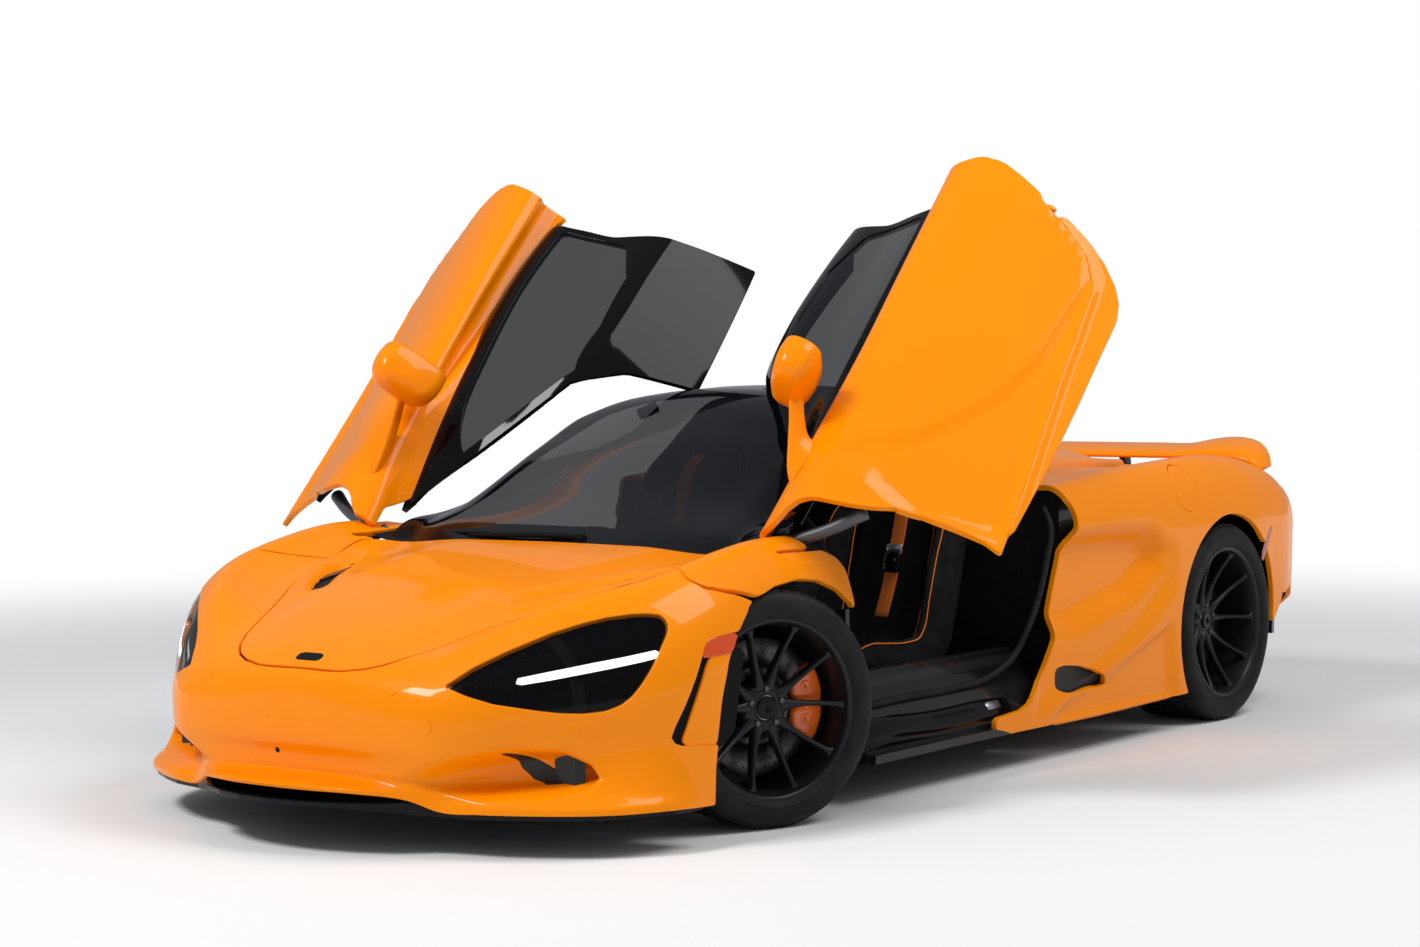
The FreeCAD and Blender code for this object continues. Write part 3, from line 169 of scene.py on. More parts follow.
# Headlamp seen square to the car's corner: along the corner, z
LAMP = [
    (-1.1405, 0.446), (-1.067, 0.490), (-0.976, 0.531), (-0.860, 0.576), (-0.780, 0.599), (-0.714, 0.613),
    (-0.650, 0.620), (-0.605, 0.620), (-0.574, 0.615), (-0.558, 0.600), (-0.558, 0.575), (-0.583, 0.526),
    (-0.606, 0.484), (-0.633, 0.444), (-0.660, 0.412), (-0.690, 0.390), (-0.730, 0.376), (-0.787, 0.371),
    (-0.850, 0.374), (-0.908, 0.382), (-1.021, 0.402), (-1.090, 0.424),
]
LIGHT_BAR = [(-0.962, 0.447), (-0.880, 0.458), (-0.716, 0.485), (-0.583, 0.509), (-0.583, 0.531),
             (-0.720, 0.508), (-0.880, 0.480), (-0.962, 0.465)]
# Mouth screen and the hollow round it, seen from the front (x, z)
MOUTH = [(0.596, 0.272), (0.610, 0.270), (0.628, 0.252), (0.660, 0.226), (0.698, 0.198), (0.708, 0.187),
         (0.664, 0.184), (0.630, 0.198), (0.606, 0.228)]
SCOOP = [(0.300, 0.190), (0.420, 0.160), (0.560, 0.146), (0.700, 0.150), (0.790, 0.172), (0.806, 0.205),
         (0.780, 0.245), (0.720, 0.284), (0.620, 0.292), (0.500, 0.270), (0.400, 0.235)]
# Wheel vent with its painted blade, side marker and front arch in the side view (y, z)
WHEEL_VENT = [(-1.600, 0.500), (-1.622, 0.455), (-1.656, 0.385), (-1.688, 0.325), (-1.698, 0.300),
              (-1.690, 0.284), (-1.668, 0.276), (-1.540, 0.268), (-1.480, 0.300), (-1.440, 0.500)]
VENT_BLADE = [(-1.580, 0.486), (-1.616, 0.400), (-1.650, 0.320), (-1.664, 0.290), (-1.656, 0.277),
              (-1.545, 0.271), (-1.520, 0.400), (-1.490, 0.500), (-1.470, 0.520), (-1.560, 0.505)]
MARKER = [(-1.600, 0.500), (-1.580, 0.540), (-1.540, 0.552), (-1.430, 0.560), (-1.430, 0.508)]
ARCH_FRONT = [(-1.566, 0.000), (-1.560, 0.200), (-1.551, 0.272), (-1.530, 0.385), (-1.500, 0.486),
              (-1.445, 0.560), (-1.385, 0.612), (-1.330, 0.642), (-1.253, 0.665), (-1.148, 0.677),
              (-1.058, 0.668), (-0.971, 0.634), (-0.915, 0.590), (-0.870, 0.520), (-0.840, 0.420),
              (-0.826, 0.300), (-0.820, 0.000)]
# Seam between bumper and wings in plan (x, y)
NOSE_SEAM = [(0.640, -1.350), (0.700, -1.430), (0.770, -1.505), (0.844, -1.535), (0.880, -1.510),
             (0.905, -1.450), (0.925, -1.380), (0.945, -1.310), (1.100, -1.200), (1.100, -3.000),
             (-0.100, -3.000), (-0.100, -1.350)]
# Hollow in each half of the bonnet, with the slot at its outer edge (x, y)
RECESS = [(0.350, -1.660), (0.372, -1.706), (0.415, -1.704), (0.478, -1.640), (0.535, -1.545),
          (0.588, -1.430), (0.622, -1.320), (0.634, -1.240), (0.615, -1.205), (0.570, -1.255),
          (0.500, -1.380), (0.420, -1.520)]
RECESS_SLOT = [(0.452, -1.622), (0.505, -1.540), (0.550, -1.440), (0.578, -1.350), (0.566, -1.352),
               (0.524, -1.440), (0.480, -1.530), (0.436, -1.606)]


def mirrored_outline(half):
    """A half outline in plan, closed over the middle of the car."""
    return half + [(-x, y) for x, y in reversed(half) if x > 0.0]


BONNET = mirrored_outline(BONNET_HALF)


# Smooth surfaces from short tables


def knots_of(points):
    """Running mean chord length over the rows of a net of points."""
    chord = np.linalg.norm(np.diff(points, axis=0), axis=-1)
    chord = chord.reshape(len(chord), -1).mean(1)
    return np.concatenate([[0.0], np.cumsum(np.maximum(chord, 1e-4))])


def smooth_rows(points, samples):
    """Cubic curve through the rows of a net, with the same number of samples in every span."""
    knots = knots_of(points)
    step = np.diff(knots)
    slope = np.diff(points, axis=0) / step.reshape((-1,) + (1,) * (points.ndim - 1))
    tangent = np.empty_like(points)
    tangent[0] = slope[0]
    tangent[-1] = slope[-1]
    for k in range(1, len(points) - 1):
        before, after = step[k - 1], step[k]
        tangent[k] = (slope[k - 1] * after + slope[k] * before) / (before + after)
    out = []
    for k in range(len(points) - 1):
        last = k == len(points) - 2
        for i in range(samples + (1 if last else 0)):
            t = i / samples
            h = step[k]
            out.append((2 * t**3 - 3 * t**2 + 1) * points[k] + (t**3 - 2 * t**2 + t) * h * tangent[k]
                       + (3 * t**2 - 2 * t**3) * points[k + 1] + (t**3 - t**2) * h * tangent[k + 1])
    return np.array(out)


def body_columns(k):
    """Points of one body section from its centre to its widest line, then down to its sill, in metres."""
    y, zc, xv, zv, xk, zk, side, zs, xl, zl = BODY_ROWS[k]
    xs = HALF_WIDTH * 1000 - side
    across = [(0, zc), (0.5 * xv, zc + 0.28 * (zv - zc)), (xv, zv), (0.5 * (xv + xk), 0.5 * (zv + zk)),
              (xk, zk), (xk + 0.68 * (xs - xk), zs + 0.66 * (zk - zs)), (xs, zs)]
    points = [(x * MILLIMETRE, y, z * MILLIMETRE) for x, z in across]
    if k < len(FASCIA_ROWS):
        ahead, behind = BODY_ROWS[max(k - 1, 0)], BODY_ROWS[k + 1]
        run = np.array(((ahead[6] - behind[6]) * MILLIMETRE, behind[0] - ahead[0]))
        inward = np.array((-run[1], run[0])) / np.linalg.norm(run)
        if k == 0:
            inward = np.array((0.0, 1.0))
        for inset, z in FASCIA_ROWS[k]:
            x, at_y = np.array((xs * MILLIMETRE, y)) + inward * inset * MILLIMETRE
            points.append((x, at_y, z * MILLIMETRE))
    else:
        for part in (0.12, 0.3, 0.48, 0.66, 0.84, 1.0):
            bulge = 16 * part * (1 - part)
            x = xs + (xl - xs) * part + bulge
            z = zs + (zl - zs) * part
            points.append((x * MILLIMETRE, y, z * MILLIMETRE))
    return points


def canopy_columns(row):
    """Points of one canopy section from its crown to below its belt, in metres."""
    y, drop, xr, zr, xb, zb = row
    zc = ROOF_Z * 1000 - drop
    points = [(0, zc), (0.5 * xr, zc - 0.25 * (zc - zr)), (0.92 * xr, zr + 0.13 * (zc - zr)),
              (xr + 0.04 * (xb - xr), zr - 0.02 * (zr - zb)), (0.5 * (xr + xb) + 6, 0.5 * (zr + zb)),
              (xb, zb), (xb + 4, zb - 45)]
    return [(x * MILLIMETRE, y, z * MILLIMETRE) for x, z in points]


class Surface:
    """Dense quad grid over both halves of the car, from the sections of its left half."""

    def __init__(self, sections, along, around):
        left = np.array(sections)
        right = left[:, :0:-1] * np.array((-1.0, 1.0, 1.0))
        net = np.concatenate([right, left], axis=1)
        rows = smooth_rows(net, along)
        grid = smooth_rows(rows.transpose(1, 0, 2), around).transpose(1, 0, 2)
        self.rows, self.columns = grid.shape[:2]
        self.points = grid.reshape(-1, 3)
        index = np.arange(self.rows * self.columns).reshape(self.rows, self.columns)
        self.faces = np.stack([index[:-1, :-1], index[:-1, 1:], index[1:, 1:], index[1:, :-1]],
                              -1).reshape(-1, 4)

    def close_tip(self):
        """Joins the two halves of the first section, across the middle of the nose."""
        right = np.arange(self.columns // 2)
        left = self.columns - 1 - right
        tip = np.stack([right[:-1], left[:-1], left[1:], right[1:]], -1)
        self.faces = np.concatenate([tip, self.faces])

    def normals(self):
        """Unit normals of the grid's points, facing out of the car."""
        grid = self.points.reshape(self.rows, self.columns, 3)
        across = np.gradient(grid, axis=1)
        along = np.gradient(grid, axis=0)
        normal = np.cross(across, along).reshape(-1, 3)
        return normal / np.maximum(np.linalg.norm(normal, axis=1, keepdims=True), 1e-12)

    def moved(self, shift):
        """Copy of the surface with its points moved by an array of the same shape."""
        copy = Surface.__new__(Surface)
        copy.rows, copy.columns, copy.faces = self.rows, self.columns, self.faces
        copy.points = self.points + shift
        return copy


# Signed distances; a panel keeps what is negative


def outline_distance(points, outline):
    """Distance in a plane from a closed outline, negative inside it."""
    corners = np.array(outline)
    nearest = np.full(len(points), 1e9)
    inside = np.zeros(len(points), bool)
    x, y = points[:, 0], points[:, 1]
    for a, b in zip(corners, np.roll(corners, -1, axis=0)):
        edge = b - a
        t = np.clip(((points - a) @ edge) / max(edge @ edge, 1e-12), 0.0, 1.0)
        nearest = np.minimum(nearest, np.linalg.norm(points - a - t[:, None] * edge, axis=1))
        crosses = (a[1] > y) != (b[1] > y)
        with np.errstate(divide="ignore", invalid="ignore"):
            at = a[0] + (y - a[1]) * edge[0] / (edge[1] if edge[1] else 1e-12)
        inside ^= crosses & (x < at)
    return np.where(inside, -nearest, nearest)


def in_plan(outline, gap=0.0):
    return lambda p: outline_distance(p[:, :2], outline) + gap


def in_side(outline, gap=0.0):
    return lambda p: outline_distance(p[:, 1:], outline) + gap


def in_front(outline, gap=0.0):
    return lambda p: outline_distance(p[:, ::2], outline) + gap


def in_corner(outline, gap=0.0):
    """Outline seen square to the nose's corner, the same on both sides."""
    def distance(p):
        along = (np.abs(p[:, 0]) + p[:, 1]) * math.sqrt(0.5)
        seen = np.stack([along, p[:, 2]], axis=1)
        return np.where(p[:, 1] < -1.4, outline_distance(seen, outline) + gap, 1.0)
    return distance


def on_side(outline, least_x, gap=0.0):
    """Outline in the side view, for what stands outboard of least_x."""
    return lambda p: np.maximum(outline_distance(p[:, 1:], outline) + gap, least_x - np.abs(p[:, 0]))


def in_both_fronts(outline, most_y, gap=0.0):
    """Outline seen from the front, the same on both sides, for what lies ahead of most_y."""
    def distance(p):
        seen = np.stack([np.abs(p[:, 0]), p[:, 2]], axis=1)
        return np.maximum(outline_distance(seen, outline) + gap, p[:, 1] - most_y)
    return distance


def outside(region, gap=0.0):
    return lambda p: -region(p) + gap


def beyond(axis, value, sign=1.0):
    """Keeps the side of a plane where sign times the coordinate is more than sign times the value."""
    return lambda p: sign * (value - p[:, axis])


def either(*regions):
    return lambda p: np.min([region(p) for region in regions], axis=0)


def every(*regions):
    return lambda p: np.max([region(p) for region in regions], axis=0)


def off_wheel(axle_y, axle_z, radius, least_x):
    """Keeps what lies outside a wheel's round opening."""
    def distance(p):
        round_gap = radius - np.hypot(p[:, 1] - axle_y, p[:, 2] - axle_z)
        return np.minimum(round_gap, np.abs(p[:, 0]) - least_x)
    return distance


def clipped(points, faces, distance):
    """Cuts a quad sheet where its points' distances change sign and keeps what is negative."""
    at_face = distance[faces]
    keep = [tuple(face) for face in faces[at_face.max(1) <= 0.0]]
    crossing = faces[(at_face.max(1) > 0.0) & (at_face.min(1) <= 0.0)]
    extra, made = [], {}
    for face in crossing:
        ring = []
        for a, b in zip(face, np.roll(face, -1)):
            da, db = distance[a], distance[b]
            if da <= 0.0:
                ring.append(a)
            if (da <= 0.0) != (db <= 0.0):
                key = (min(a, b), max(a, b))
                if key not in made:
                    t = min(max(da / (da - db), 0.02), 0.98)
                    made[key] = len(points) + len(extra)
                    extra.append(points[a] * (1 - t) + points[b] * t)
                ring.append(made[key])
        if len(ring) > 2:
            keep.append(tuple(ring))
    every_point = np.concatenate([points, np.array(extra).reshape(-1, 3)])
    used = np.unique(np.concatenate([np.array(face) for face in keep]))
    renumber = {old: new for new, old in enumerate(used)}
    return every_point[used], [tuple(renumber[i] for i in face) for face in keep]


HEM = ((0.0012, 0.0), (0.0022, -0.0006), (0.0031, -0.0016), (0.0036, -0.0032), (0.0036, -0.018))


def hemmed(points, faces, rings=HEM):
    """Gives an open sheet a rounded edge that turns inwards, like a folded panel."""
    normal = np.zeros_like(points)
    for face in faces:
        a, b, c = points[face[0]], points[face[1]], points[face[2]]
        weight = np.cross(b - a, c - a)
        for i in face:
            normal[i] += weight
    normal /= np.maximum(np.linalg.norm(normal, axis=1, keepdims=True), 1e-12)
    directed = {}
    for face in faces:
        for a, b in zip(face, face[1:] + face[:1]):
            directed[(a, b)] = True
    rim = [(a, b) for a, b in directed if (b, a) not in directed]
    out = np.zeros_like(points)
    for a, b in rim:
        along = points[b] - points[a]
        side = np.cross(along, normal[a] + normal[b])
        for i in (a, b):
            out[i] += side
    edge_points = sorted({i for pair in rim for i in pair})
    size = np.linalg.norm(out[edge_points], axis=1, keepdims=True)
    unit = out[edge_points] / np.maximum(size, 1e-12)
    inward = normal[edge_points]
    place = {i: k for k, i in enumerate(edge_points)}
    total = len(points)
    layers = [points]
    faces = list(faces)
    before = {i: i for i in edge_points}
    for across, lift in rings:
        layers.append(points[edge_points] + unit * across + inward * lift)
        after = {i: total + place[i] for i in edge_points}
        total += len(edge_points)
        for a, b in rim:
            faces.append((before[b], before[a], after[a], after[b]))
        before = after
    return np.concatenate(layers), faces


def mesh_object(name, points, faces, material, smooth=True):
    """Mesh object with its place in its mesh."""
    mesh = bpy.data.meshes.new(name)
    mesh.from_pydata([tuple(p) for p in points], [], [tuple(int(i) for i in f) for f in faces])
    mesh.materials.append(material)
    mesh.polygons.foreach_set("use_smooth", [smooth] * len(mesh.polygons))
    mesh.update()
    made = bpy.data.objects.new(name, mesh)
    bpy.context.scene.collection.objects.link(made)
    return made


def turned(points, about, axis, degrees):
    """Points turned about a line."""
    spin = np.array(Matrix.Rotation(math.radians(degrees), 3, axis))
    return (points - np.array(about)) @ spin.T + np.array(about)


def door_opened(points):
    """Left door's points, carried from shut to the raised rest position."""
    return turned(points, HINGE_LOW, (HINGE_UP - HINGE_LOW).normalized(), DOOR_OPEN)


def steered(points, side=1.0):
    """A front wheel's points, turned with the steering about the kingpin of its side."""
    return turned(points, Vector((KINGPIN.x * side, KINGPIN.y, KINGPIN.z)), Vector((0, 0, 1)), STEER_REST)


def placed(shape, at, degrees=0.0, axis=(1, 0, 0)):
    """A shape turned about an axis through the origin, then carried to its place."""
    points = turned(shape[0], (0, 0, 0), axis, degrees) if degrees else shape[0]
    return points + np.array(at), shape[1]


def flipped(points, faces):
    """Mirror image on the car's other side, with its faces still outwards."""
    return points * np.array((-1.0, 1.0, 1.0)), [tuple(reversed(face)) for face in faces]


# Pieces from short tables


def piece(name, shape, finish, body="root", smooth=True):
    """Adds one piece of the car and lets it ride on its body."""
    made = mesh_object(name, shape[0], shape[1], FINISHES[finish], smooth)
    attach(made, body)
    return made


def pair(name, shape, finish, bodies=("root", "root"), smooth=True):
    """Adds a left piece and its mirror image."""
    made = [piece(name + "_left", shape, finish, bodies[0], smooth)]
    made.append(piece(name + "_right", flipped(*shape), finish, bodies[1], smooth))
    return made


def skin_faces(rows, columns, closed):
    """Quads over a grid of points, closed round its columns if asked."""
    faces = []
    for i in range(rows - 1):
        for j in range(columns if closed else columns - 1):
            k = (j + 1) % columns
            faces.append((i * columns + j, i * columns + k, (i + 1) * columns + k, (i + 1) * columns + j))
    return faces


def lofted(rings, along=6, around=6, closed=True, caps=True):
    """Smooth solid or sheet through rings with equally many points."""
    rings = np.array(rings, float)
    rows = smooth_rows(rings, along) if along else rings
    if closed and around:
        wrapped = np.concatenate([rows[:, -2:], rows, rows[:, :3]], axis=1).transpose(1, 0, 2)
        dense = smooth_rows(wrapped, around).transpose(1, 0, 2)
        rows = dense[:, 2 * around:(2 + rings.shape[1]) * around]
    elif around:
        rows = smooth_rows(rows.transpose(1, 0, 2), around).transpose(1, 0, 2)
    count, columns = rows.shape[:2]
    points = rows.reshape(-1, 3)
    faces = skin_faces(count, columns, closed)
    if closed and caps:
        faces.append(tuple(reversed(range(columns))))
        faces.append(tuple(range((count - 1) * columns, count * columns)))
    return outwards(points, faces) if closed and caps else (points, faces)


def outwards(points, faces):
    """Turns every face round if the closed shape is inside out."""
    volume = 0.0
    for face in faces:
        a = points[face[0]]
        for b, c in zip(face[1:-1], face[2:]):
            volume += np.dot(a, np.cross(points[b], points[c]))
    return (points, faces) if volume > 0 else (points, [tuple(reversed(face)) for face in faces])


def joined(*shapes):
    """Several shapes in one mesh."""
    points, faces, start = [], [], 0
    for shape_points, shape_faces in shapes:
        points.append(np.asarray(shape_points, float))
        faces += [tuple(i + start for i in face) for face in shape_faces]
        start += len(shape_points)
    return np.concatenate(points), faces


def ring_of(centre, right, up, outline):
    """Outline in a plane, with its two axes."""
    centre, right, up = (np.array(v, float) for v in (centre, right, up))
    return [centre + right * a + up * b for a, b in outline]


def rounded(width, height, corner=0.35, points=4):
    """Rounded rectangle, its corners a share of the smaller side."""
    radius = corner * min(width, height)
    outline = []
    for quarter, (sx, sy) in enumerate(((1, 1), (-1, 1), (-1, -1), (1, -1))):
        for k in range(points):
            turn = math.pi / 2 * (quarter + k / (points - 1))
            outline.append((sx * (width / 2 - radius) + radius * math.cos(turn),
                            sy * (height / 2 - radius) + radius * math.sin(turn)))
    return outline


def tube(path, radius, sides=10, along=6):
    """Round bar along a smooth path; the radius may vary with the points."""
    path = np.array(path, float)
    line = smooth_rows(path, along) if along else path
    given = np.broadcast_to(radius, len(path))
    radii = np.interp(np.linspace(0, 1, len(line)), np.linspace(0, 1, len(path)), given)
    ahead = np.gradient(line, axis=0)
    ahead /= np.linalg.norm(ahead, axis=1, keepdims=True)
    guide = np.array((0.0, 0.0, 1.0)) if abs(ahead[0][2]) < 0.9 else np.array((1.0, 0.0, 0.0))
    rings = []
    for point, forward, size in zip(line, ahead, radii):
        right = np.cross(forward, guide)
        right /= np.linalg.norm(right)
        guide = np.cross(right, forward)
        turn = [2 * math.pi * k / sides for k in range(sides)]
        rings.append([point + size * (right * math.cos(a) + guide * math.sin(a)) for a in turn])
    return lofted(rings, 0, 0)


def revolved(profile, segments=96, along=0):
    """Closed profile of (x, radius) turned about the X axis."""
    outline = np.array([(x, 0.0, r) for x, r in profile])
    if along:
        closed = np.concatenate([outline[-2:], outline, outline[:3]])
        dense = smooth_rows(closed[:, None, :], along)[:, 0]
        outline = dense[2 * along:(2 + len(profile)) * along]
    turns = np.linspace(0, 2 * math.pi, segments, endpoint=False)
    grid = np.array([[(x, r * math.sin(a), r * math.cos(a)) for x, _, r in outline] for a in turns])
    rows = np.concatenate([grid, grid[:1]])
    count, columns = rows.shape[:2]
    faces = [tuple(i % (segments * columns) for i in face) for face in skin_faces(count, columns, True)]
    return outwards(grid.reshape(-1, 3), faces)


def slab(outline, low, high, axis=2, bevel=0.002):
    """Flat plate between two levels of one axis, with bevelled edges; the outline is in the other two."""
    corners = np.array(outline, float)
    middle = corners.mean(0)
    reach = np.abs(corners - middle).max()
    small = middle + (corners - middle) * (1.0 - bevel / reach)
    levels = ((small, low), (corners, low + bevel), (corners, high - bevel), (small, high))
    others = [k for k in range(3) if k != axis]
    rings = []
    for flat, level in levels:
        ring = np.zeros((len(corners), 3))
        ring[:, others] = flat
        ring[:, axis] = level
        rings.append(ring)
    return lofted(rings, 0, 0)


def patch(surface, region, depth=0.0, hem=None):
    """Part of a surface, set in along its normals."""
    inner = surface.moved(-surface.normals() * depth) if depth else surface
    points, faces = clipped(inner.points, inner.faces, region(surface.points))
    return hemmed(points, faces, hem) if hem else (points, faces)


def on_surface(surface, target):
    """Point of a surface nearest to a target, with its outward normal."""
    k = int(np.argmin(np.linalg.norm(surface.points - np.array(target), axis=1)))
    return surface.points[k], surface.normals()[k]


def button(surface, target, radius, height, dish=0.0, segments=24):
    """Low round cap that lies on a surface."""
    at, normal = on_surface(surface, target)
    right = np.cross(normal, (0.0, 0.0, 1.0))
    right /= np.linalg.norm(right)
    up = np.cross(right, normal)
    rings = []
    floor = height - dish
    for share, lift in ((1.0, -0.003), (1.0, height * 0.5), (0.9, height), (0.55, floor), (0.02, floor)):
        ring = []
        for k in range(segments):
            turn = 2 * math.pi * k / segments
            out = right * math.cos(turn) + up * math.sin(turn)
            ring.append(at + radius * share * out + normal * lift)
        rings.append(ring)
    return lofted(rings, 0, 0)


# Shader expressions


class Value:
    """One output socket; arithmetic on it adds Math nodes."""

    def __init__(self, finish, socket):
        self.finish = finish
        self.socket = socket

    def maths(self, operation, other=None, swapped=False):
        inputs = [self] if other is None else ([other, self] if swapped else [self, other])
        return self.finish.node("ShaderNodeMath", {"operation": operation}, dict(enumerate(inputs)))

    def __add__(self, other):
        return self.maths("ADD", other)

    def __radd__(self, other):
        return self.maths("ADD", other, True)

    def __sub__(self, other):
        return self.maths("SUBTRACT", other)

    def __rsub__(self, other):
        return self.maths("SUBTRACT", other, True)

    def __mul__(self, other):
        return self.maths("MULTIPLY", other)

    def __rmul__(self, other):
        return self.maths("MULTIPLY", other, True)

    def __truediv__(self, other):
        return self.maths("DIVIDE", other)

    def __pow__(self, other):
        return self.maths("POWER", other)

    def sine(self):
        return self.maths("SINE")

    def fraction(self):
        return self.maths("FRACT")

    def size(self):
        return self.maths("ABSOLUTE")

    def above(self, other):
        return self.maths("GREATER_THAN", other)

    def smooth(self, low, high):
        """0 below the low value, 1 above the high one, eased between."""
        settings = {"interpolation_type": "SMOOTHSTEP"}
        inputs = {"Value": self, "From Min": low, "From Max": high}
        return self.finish.node("ShaderNodeMapRange", settings, inputs)


class Finish:
    """One material with a Principled surface, and the nodes that vary it."""

    def __init__(self, name, colour, roughness, **fixed):
        self.material = bpy.data.materials.new(name)
        self.material.use_nodes = True
        self.tree = self.material.node_tree
        self.surface = self.tree.nodes["Principled BSDF"]
        self.surface.inputs["Base Color"].default_value = (*colour, 1.0)
        self.surface.inputs["Roughness"].default_value = roughness
        for socket, value in fixed.items():
            self.surface.inputs[socket.replace("_", " ")].default_value = value
        self.material.diffuse_color = (*colour, 1.0)

    def node(self, kind, settings, inputs, output=0):
        made = self.tree.nodes.new(kind)
        for name, value in settings.items():
            setattr(made, name, value)
        for key, value in inputs.items():
            if isinstance(value, Value):
                self.tree.links.new(value.socket, made.inputs[key])
            else:
                made.inputs[key].default_value = value
        return Value(self, made.outputs[output])

    def ramp(self, factor, *stops):
        """Colour ramp through (place, colour) stops."""
        value = self.node("ShaderNodeValToRGB", {}, {"Fac": factor})
        elements = value.socket.node.color_ramp.elements
        while len(elements) < len(stops):
            elements.new(0.5)
        for element, (place, colour) in zip(elements, stops):
            element.position = place
            element.color = (*colour, 1.0)
        return value

    def place(self):
        return self.node("ShaderNodeTexCoord", {}, {}, "Object")

    def axes(self):
        apart = self.node("ShaderNodeSeparateXYZ", {}, {"Vector": self.place()})
        outputs = apart.socket.node.outputs
        return Value(self, outputs["X"]), Value(self, outputs["Y"]), Value(self, outputs["Z"])

    def noise(self, scale, detail=2.0, roughness=0.5):
        inputs = {"Vector": self.place(), "Scale": scale, "Detail": detail, "Roughness": roughness}
        return self.node("ShaderNodeTexNoise", {}, inputs, "Fac")

    def cells(self, scale, feature="F1", output="Distance"):
        inputs = {"Vector": self.place(), "Scale": scale}
        return self.node("ShaderNodeTexVoronoi", {"feature": feature}, inputs, output)

    def blend(self, factor, first, second):
        """Colour between two colours or colour values."""
        inputs = {"Factor": factor, 6: first, 7: second}
        return self.node("ShaderNodeMix", {"data_type": "RGBA"}, inputs, 2)

    def vary(self, socket, value):
        self.tree.links.new(value.socket, self.surface.inputs[socket])

    def bumps(self, height, strength, distance=0.001):
        inputs = {"Height": height, "Strength": strength, "Distance": distance}
        bump = self.node("ShaderNodeBump", {}, inputs, "Normal")
        self.vary("Normal", bump)


def rgba(colour):
    return (*colour, 1.0)


def paint_finish(name, colour, deep):
    """Clear-coated paint with a fine flake and a slight change of tone."""
    made = Finish(name, colour, 0.32, Coat_Weight=0.30, Coat_Roughness=0.02, Specular_IOR_Level=0.05)
    flake = made.noise(2600.0, 1.0).smooth(0.35, 0.75)
    tone = made.noise(1.7, 2.0).smooth(0.3, 0.7)
    made.vary("Base Color", made.blend(flake * 0.22 + tone * 0.10, rgba(colour), rgba(deep)))
    made.vary("Roughness", 0.26 + flake * 0.16)
    made.bumps(made.noise(55.0, 2.0), 0.02, 0.0004)
    return made.material


def woven_finish(name, dark, light, thread, roughness=0.22):
    """Carbon cloth under lacquer: a two-by-two twill seen along the car, its tows painted lighter on their
    crowns and in one direction, as painted sheen.
    """
    made = Finish(name, dark, roughness, Coat_Weight=0.3, Coat_Roughness=0.05, Specular_IOR_Level=0.12)
    x, y, z = made.axes()
    warp = (x + z * 0.7) / thread
    weft = (y + z * 0.7) / thread
    step = ((warp + weft) * 0.5).fraction().above(0.5)
    ridge = (warp * math.pi).sine().size() * step + (weft * math.pi).sine().size() * (1.0 - step)
    # The weave is real; its lighter tow crowns and lighter weave direction are painted sheen
    made.vary("Base Color", made.blend(ridge.smooth(0.1, 1.0) * (0.35 + step * 0.65), rgba(dark),
                                       rgba(light)))
    made.vary("Roughness", 0.30 - ridge * 0.12)
    made.bumps(ridge, 0.10, 0.0003)
    return made.material


def plain_finish(name, colour, roughness, grain, strength, **fixed):
    """Moulded or cast surface with a fine grain in its colour, sheen and relief."""
    made = Finish(name, colour, roughness, **fixed)
    fine = made.noise(grain, 3.0)
    broad = made.noise(grain * 0.04, 2.0)
    light = tuple(min(1.0, c * 1.35 + 0.004) for c in colour)
    made.vary("Base Color", made.blend(fine * 0.5 + broad * 0.35, rgba(colour), rgba(light)))
    made.vary("Roughness", roughness * 0.85 + (fine * 0.6 + broad * 0.6) * roughness * 0.3)
    made.bumps(fine, strength, 0.0006)
    return made.material


def glass_finish(name, tint, alpha):
    """Tinted glass that shows what is behind it."""
    made = Finish(name, tint, 0.03, Alpha=alpha, Specular_IOR_Level=0.1, Coat_Weight=0.16,
                  Coat_Roughness=0.0)
    film = made.noise(3.0, 2.0)
    made.vary("Roughness", 0.015 + film * 0.03)
    made.material.surface_render_method = "BLENDED"
    return made.material


def tyre_finish():
    """Rubber with a faint fine grain and a dusty tread."""
    made = Finish("rubber", (0.012, 0.012, 0.012), 0.7, Specular_IOR_Level=0.2)
    fine = made.noise(320.0, 3.0)
    dust = made.noise(14.0, 3.0).smooth(0.35, 0.75)
    made.vary("Base Color", made.blend(dust * 0.55, rgba((0.007, 0.007, 0.0075)),
                                       rgba((0.024, 0.023, 0.022))))
    made.vary("Roughness", 0.52 + fine * 0.25)
    made.bumps(fine, 0.25, 0.0005)
    return made.material


def disc_finish():
    """Turned steel with a fine ripple between darker and browner tones."""
    made = Finish("turned_steel", (0.08, 0.08, 0.08), 0.36, Metallic=1.0)
    ripple = made.noise(420.0, 2.0)
    made.vary("Base Color", made.blend(ripple, rgba((0.045, 0.045, 0.047)), rgba((0.12, 0.115, 0.11))))
    made.vary("Roughness", 0.30 + ripple * 0.2)
    return made.material


def suede_finish(name, colour, nap):
    """Brushed suede with a mottled nap."""
    made = Finish(name, colour, 0.9, Specular_IOR_Level=0.1)
    pile = made.noise(900.0, 2.0)
    stroke = made.noise(18.0, 3.0).smooth(0.35, 0.7)
    made.vary("Base Color", made.blend(pile * 0.4 + stroke * 0.45, rgba(colour), rgba(nap)))
    made.bumps(pile, 0.35, 0.0005)
    return made.material


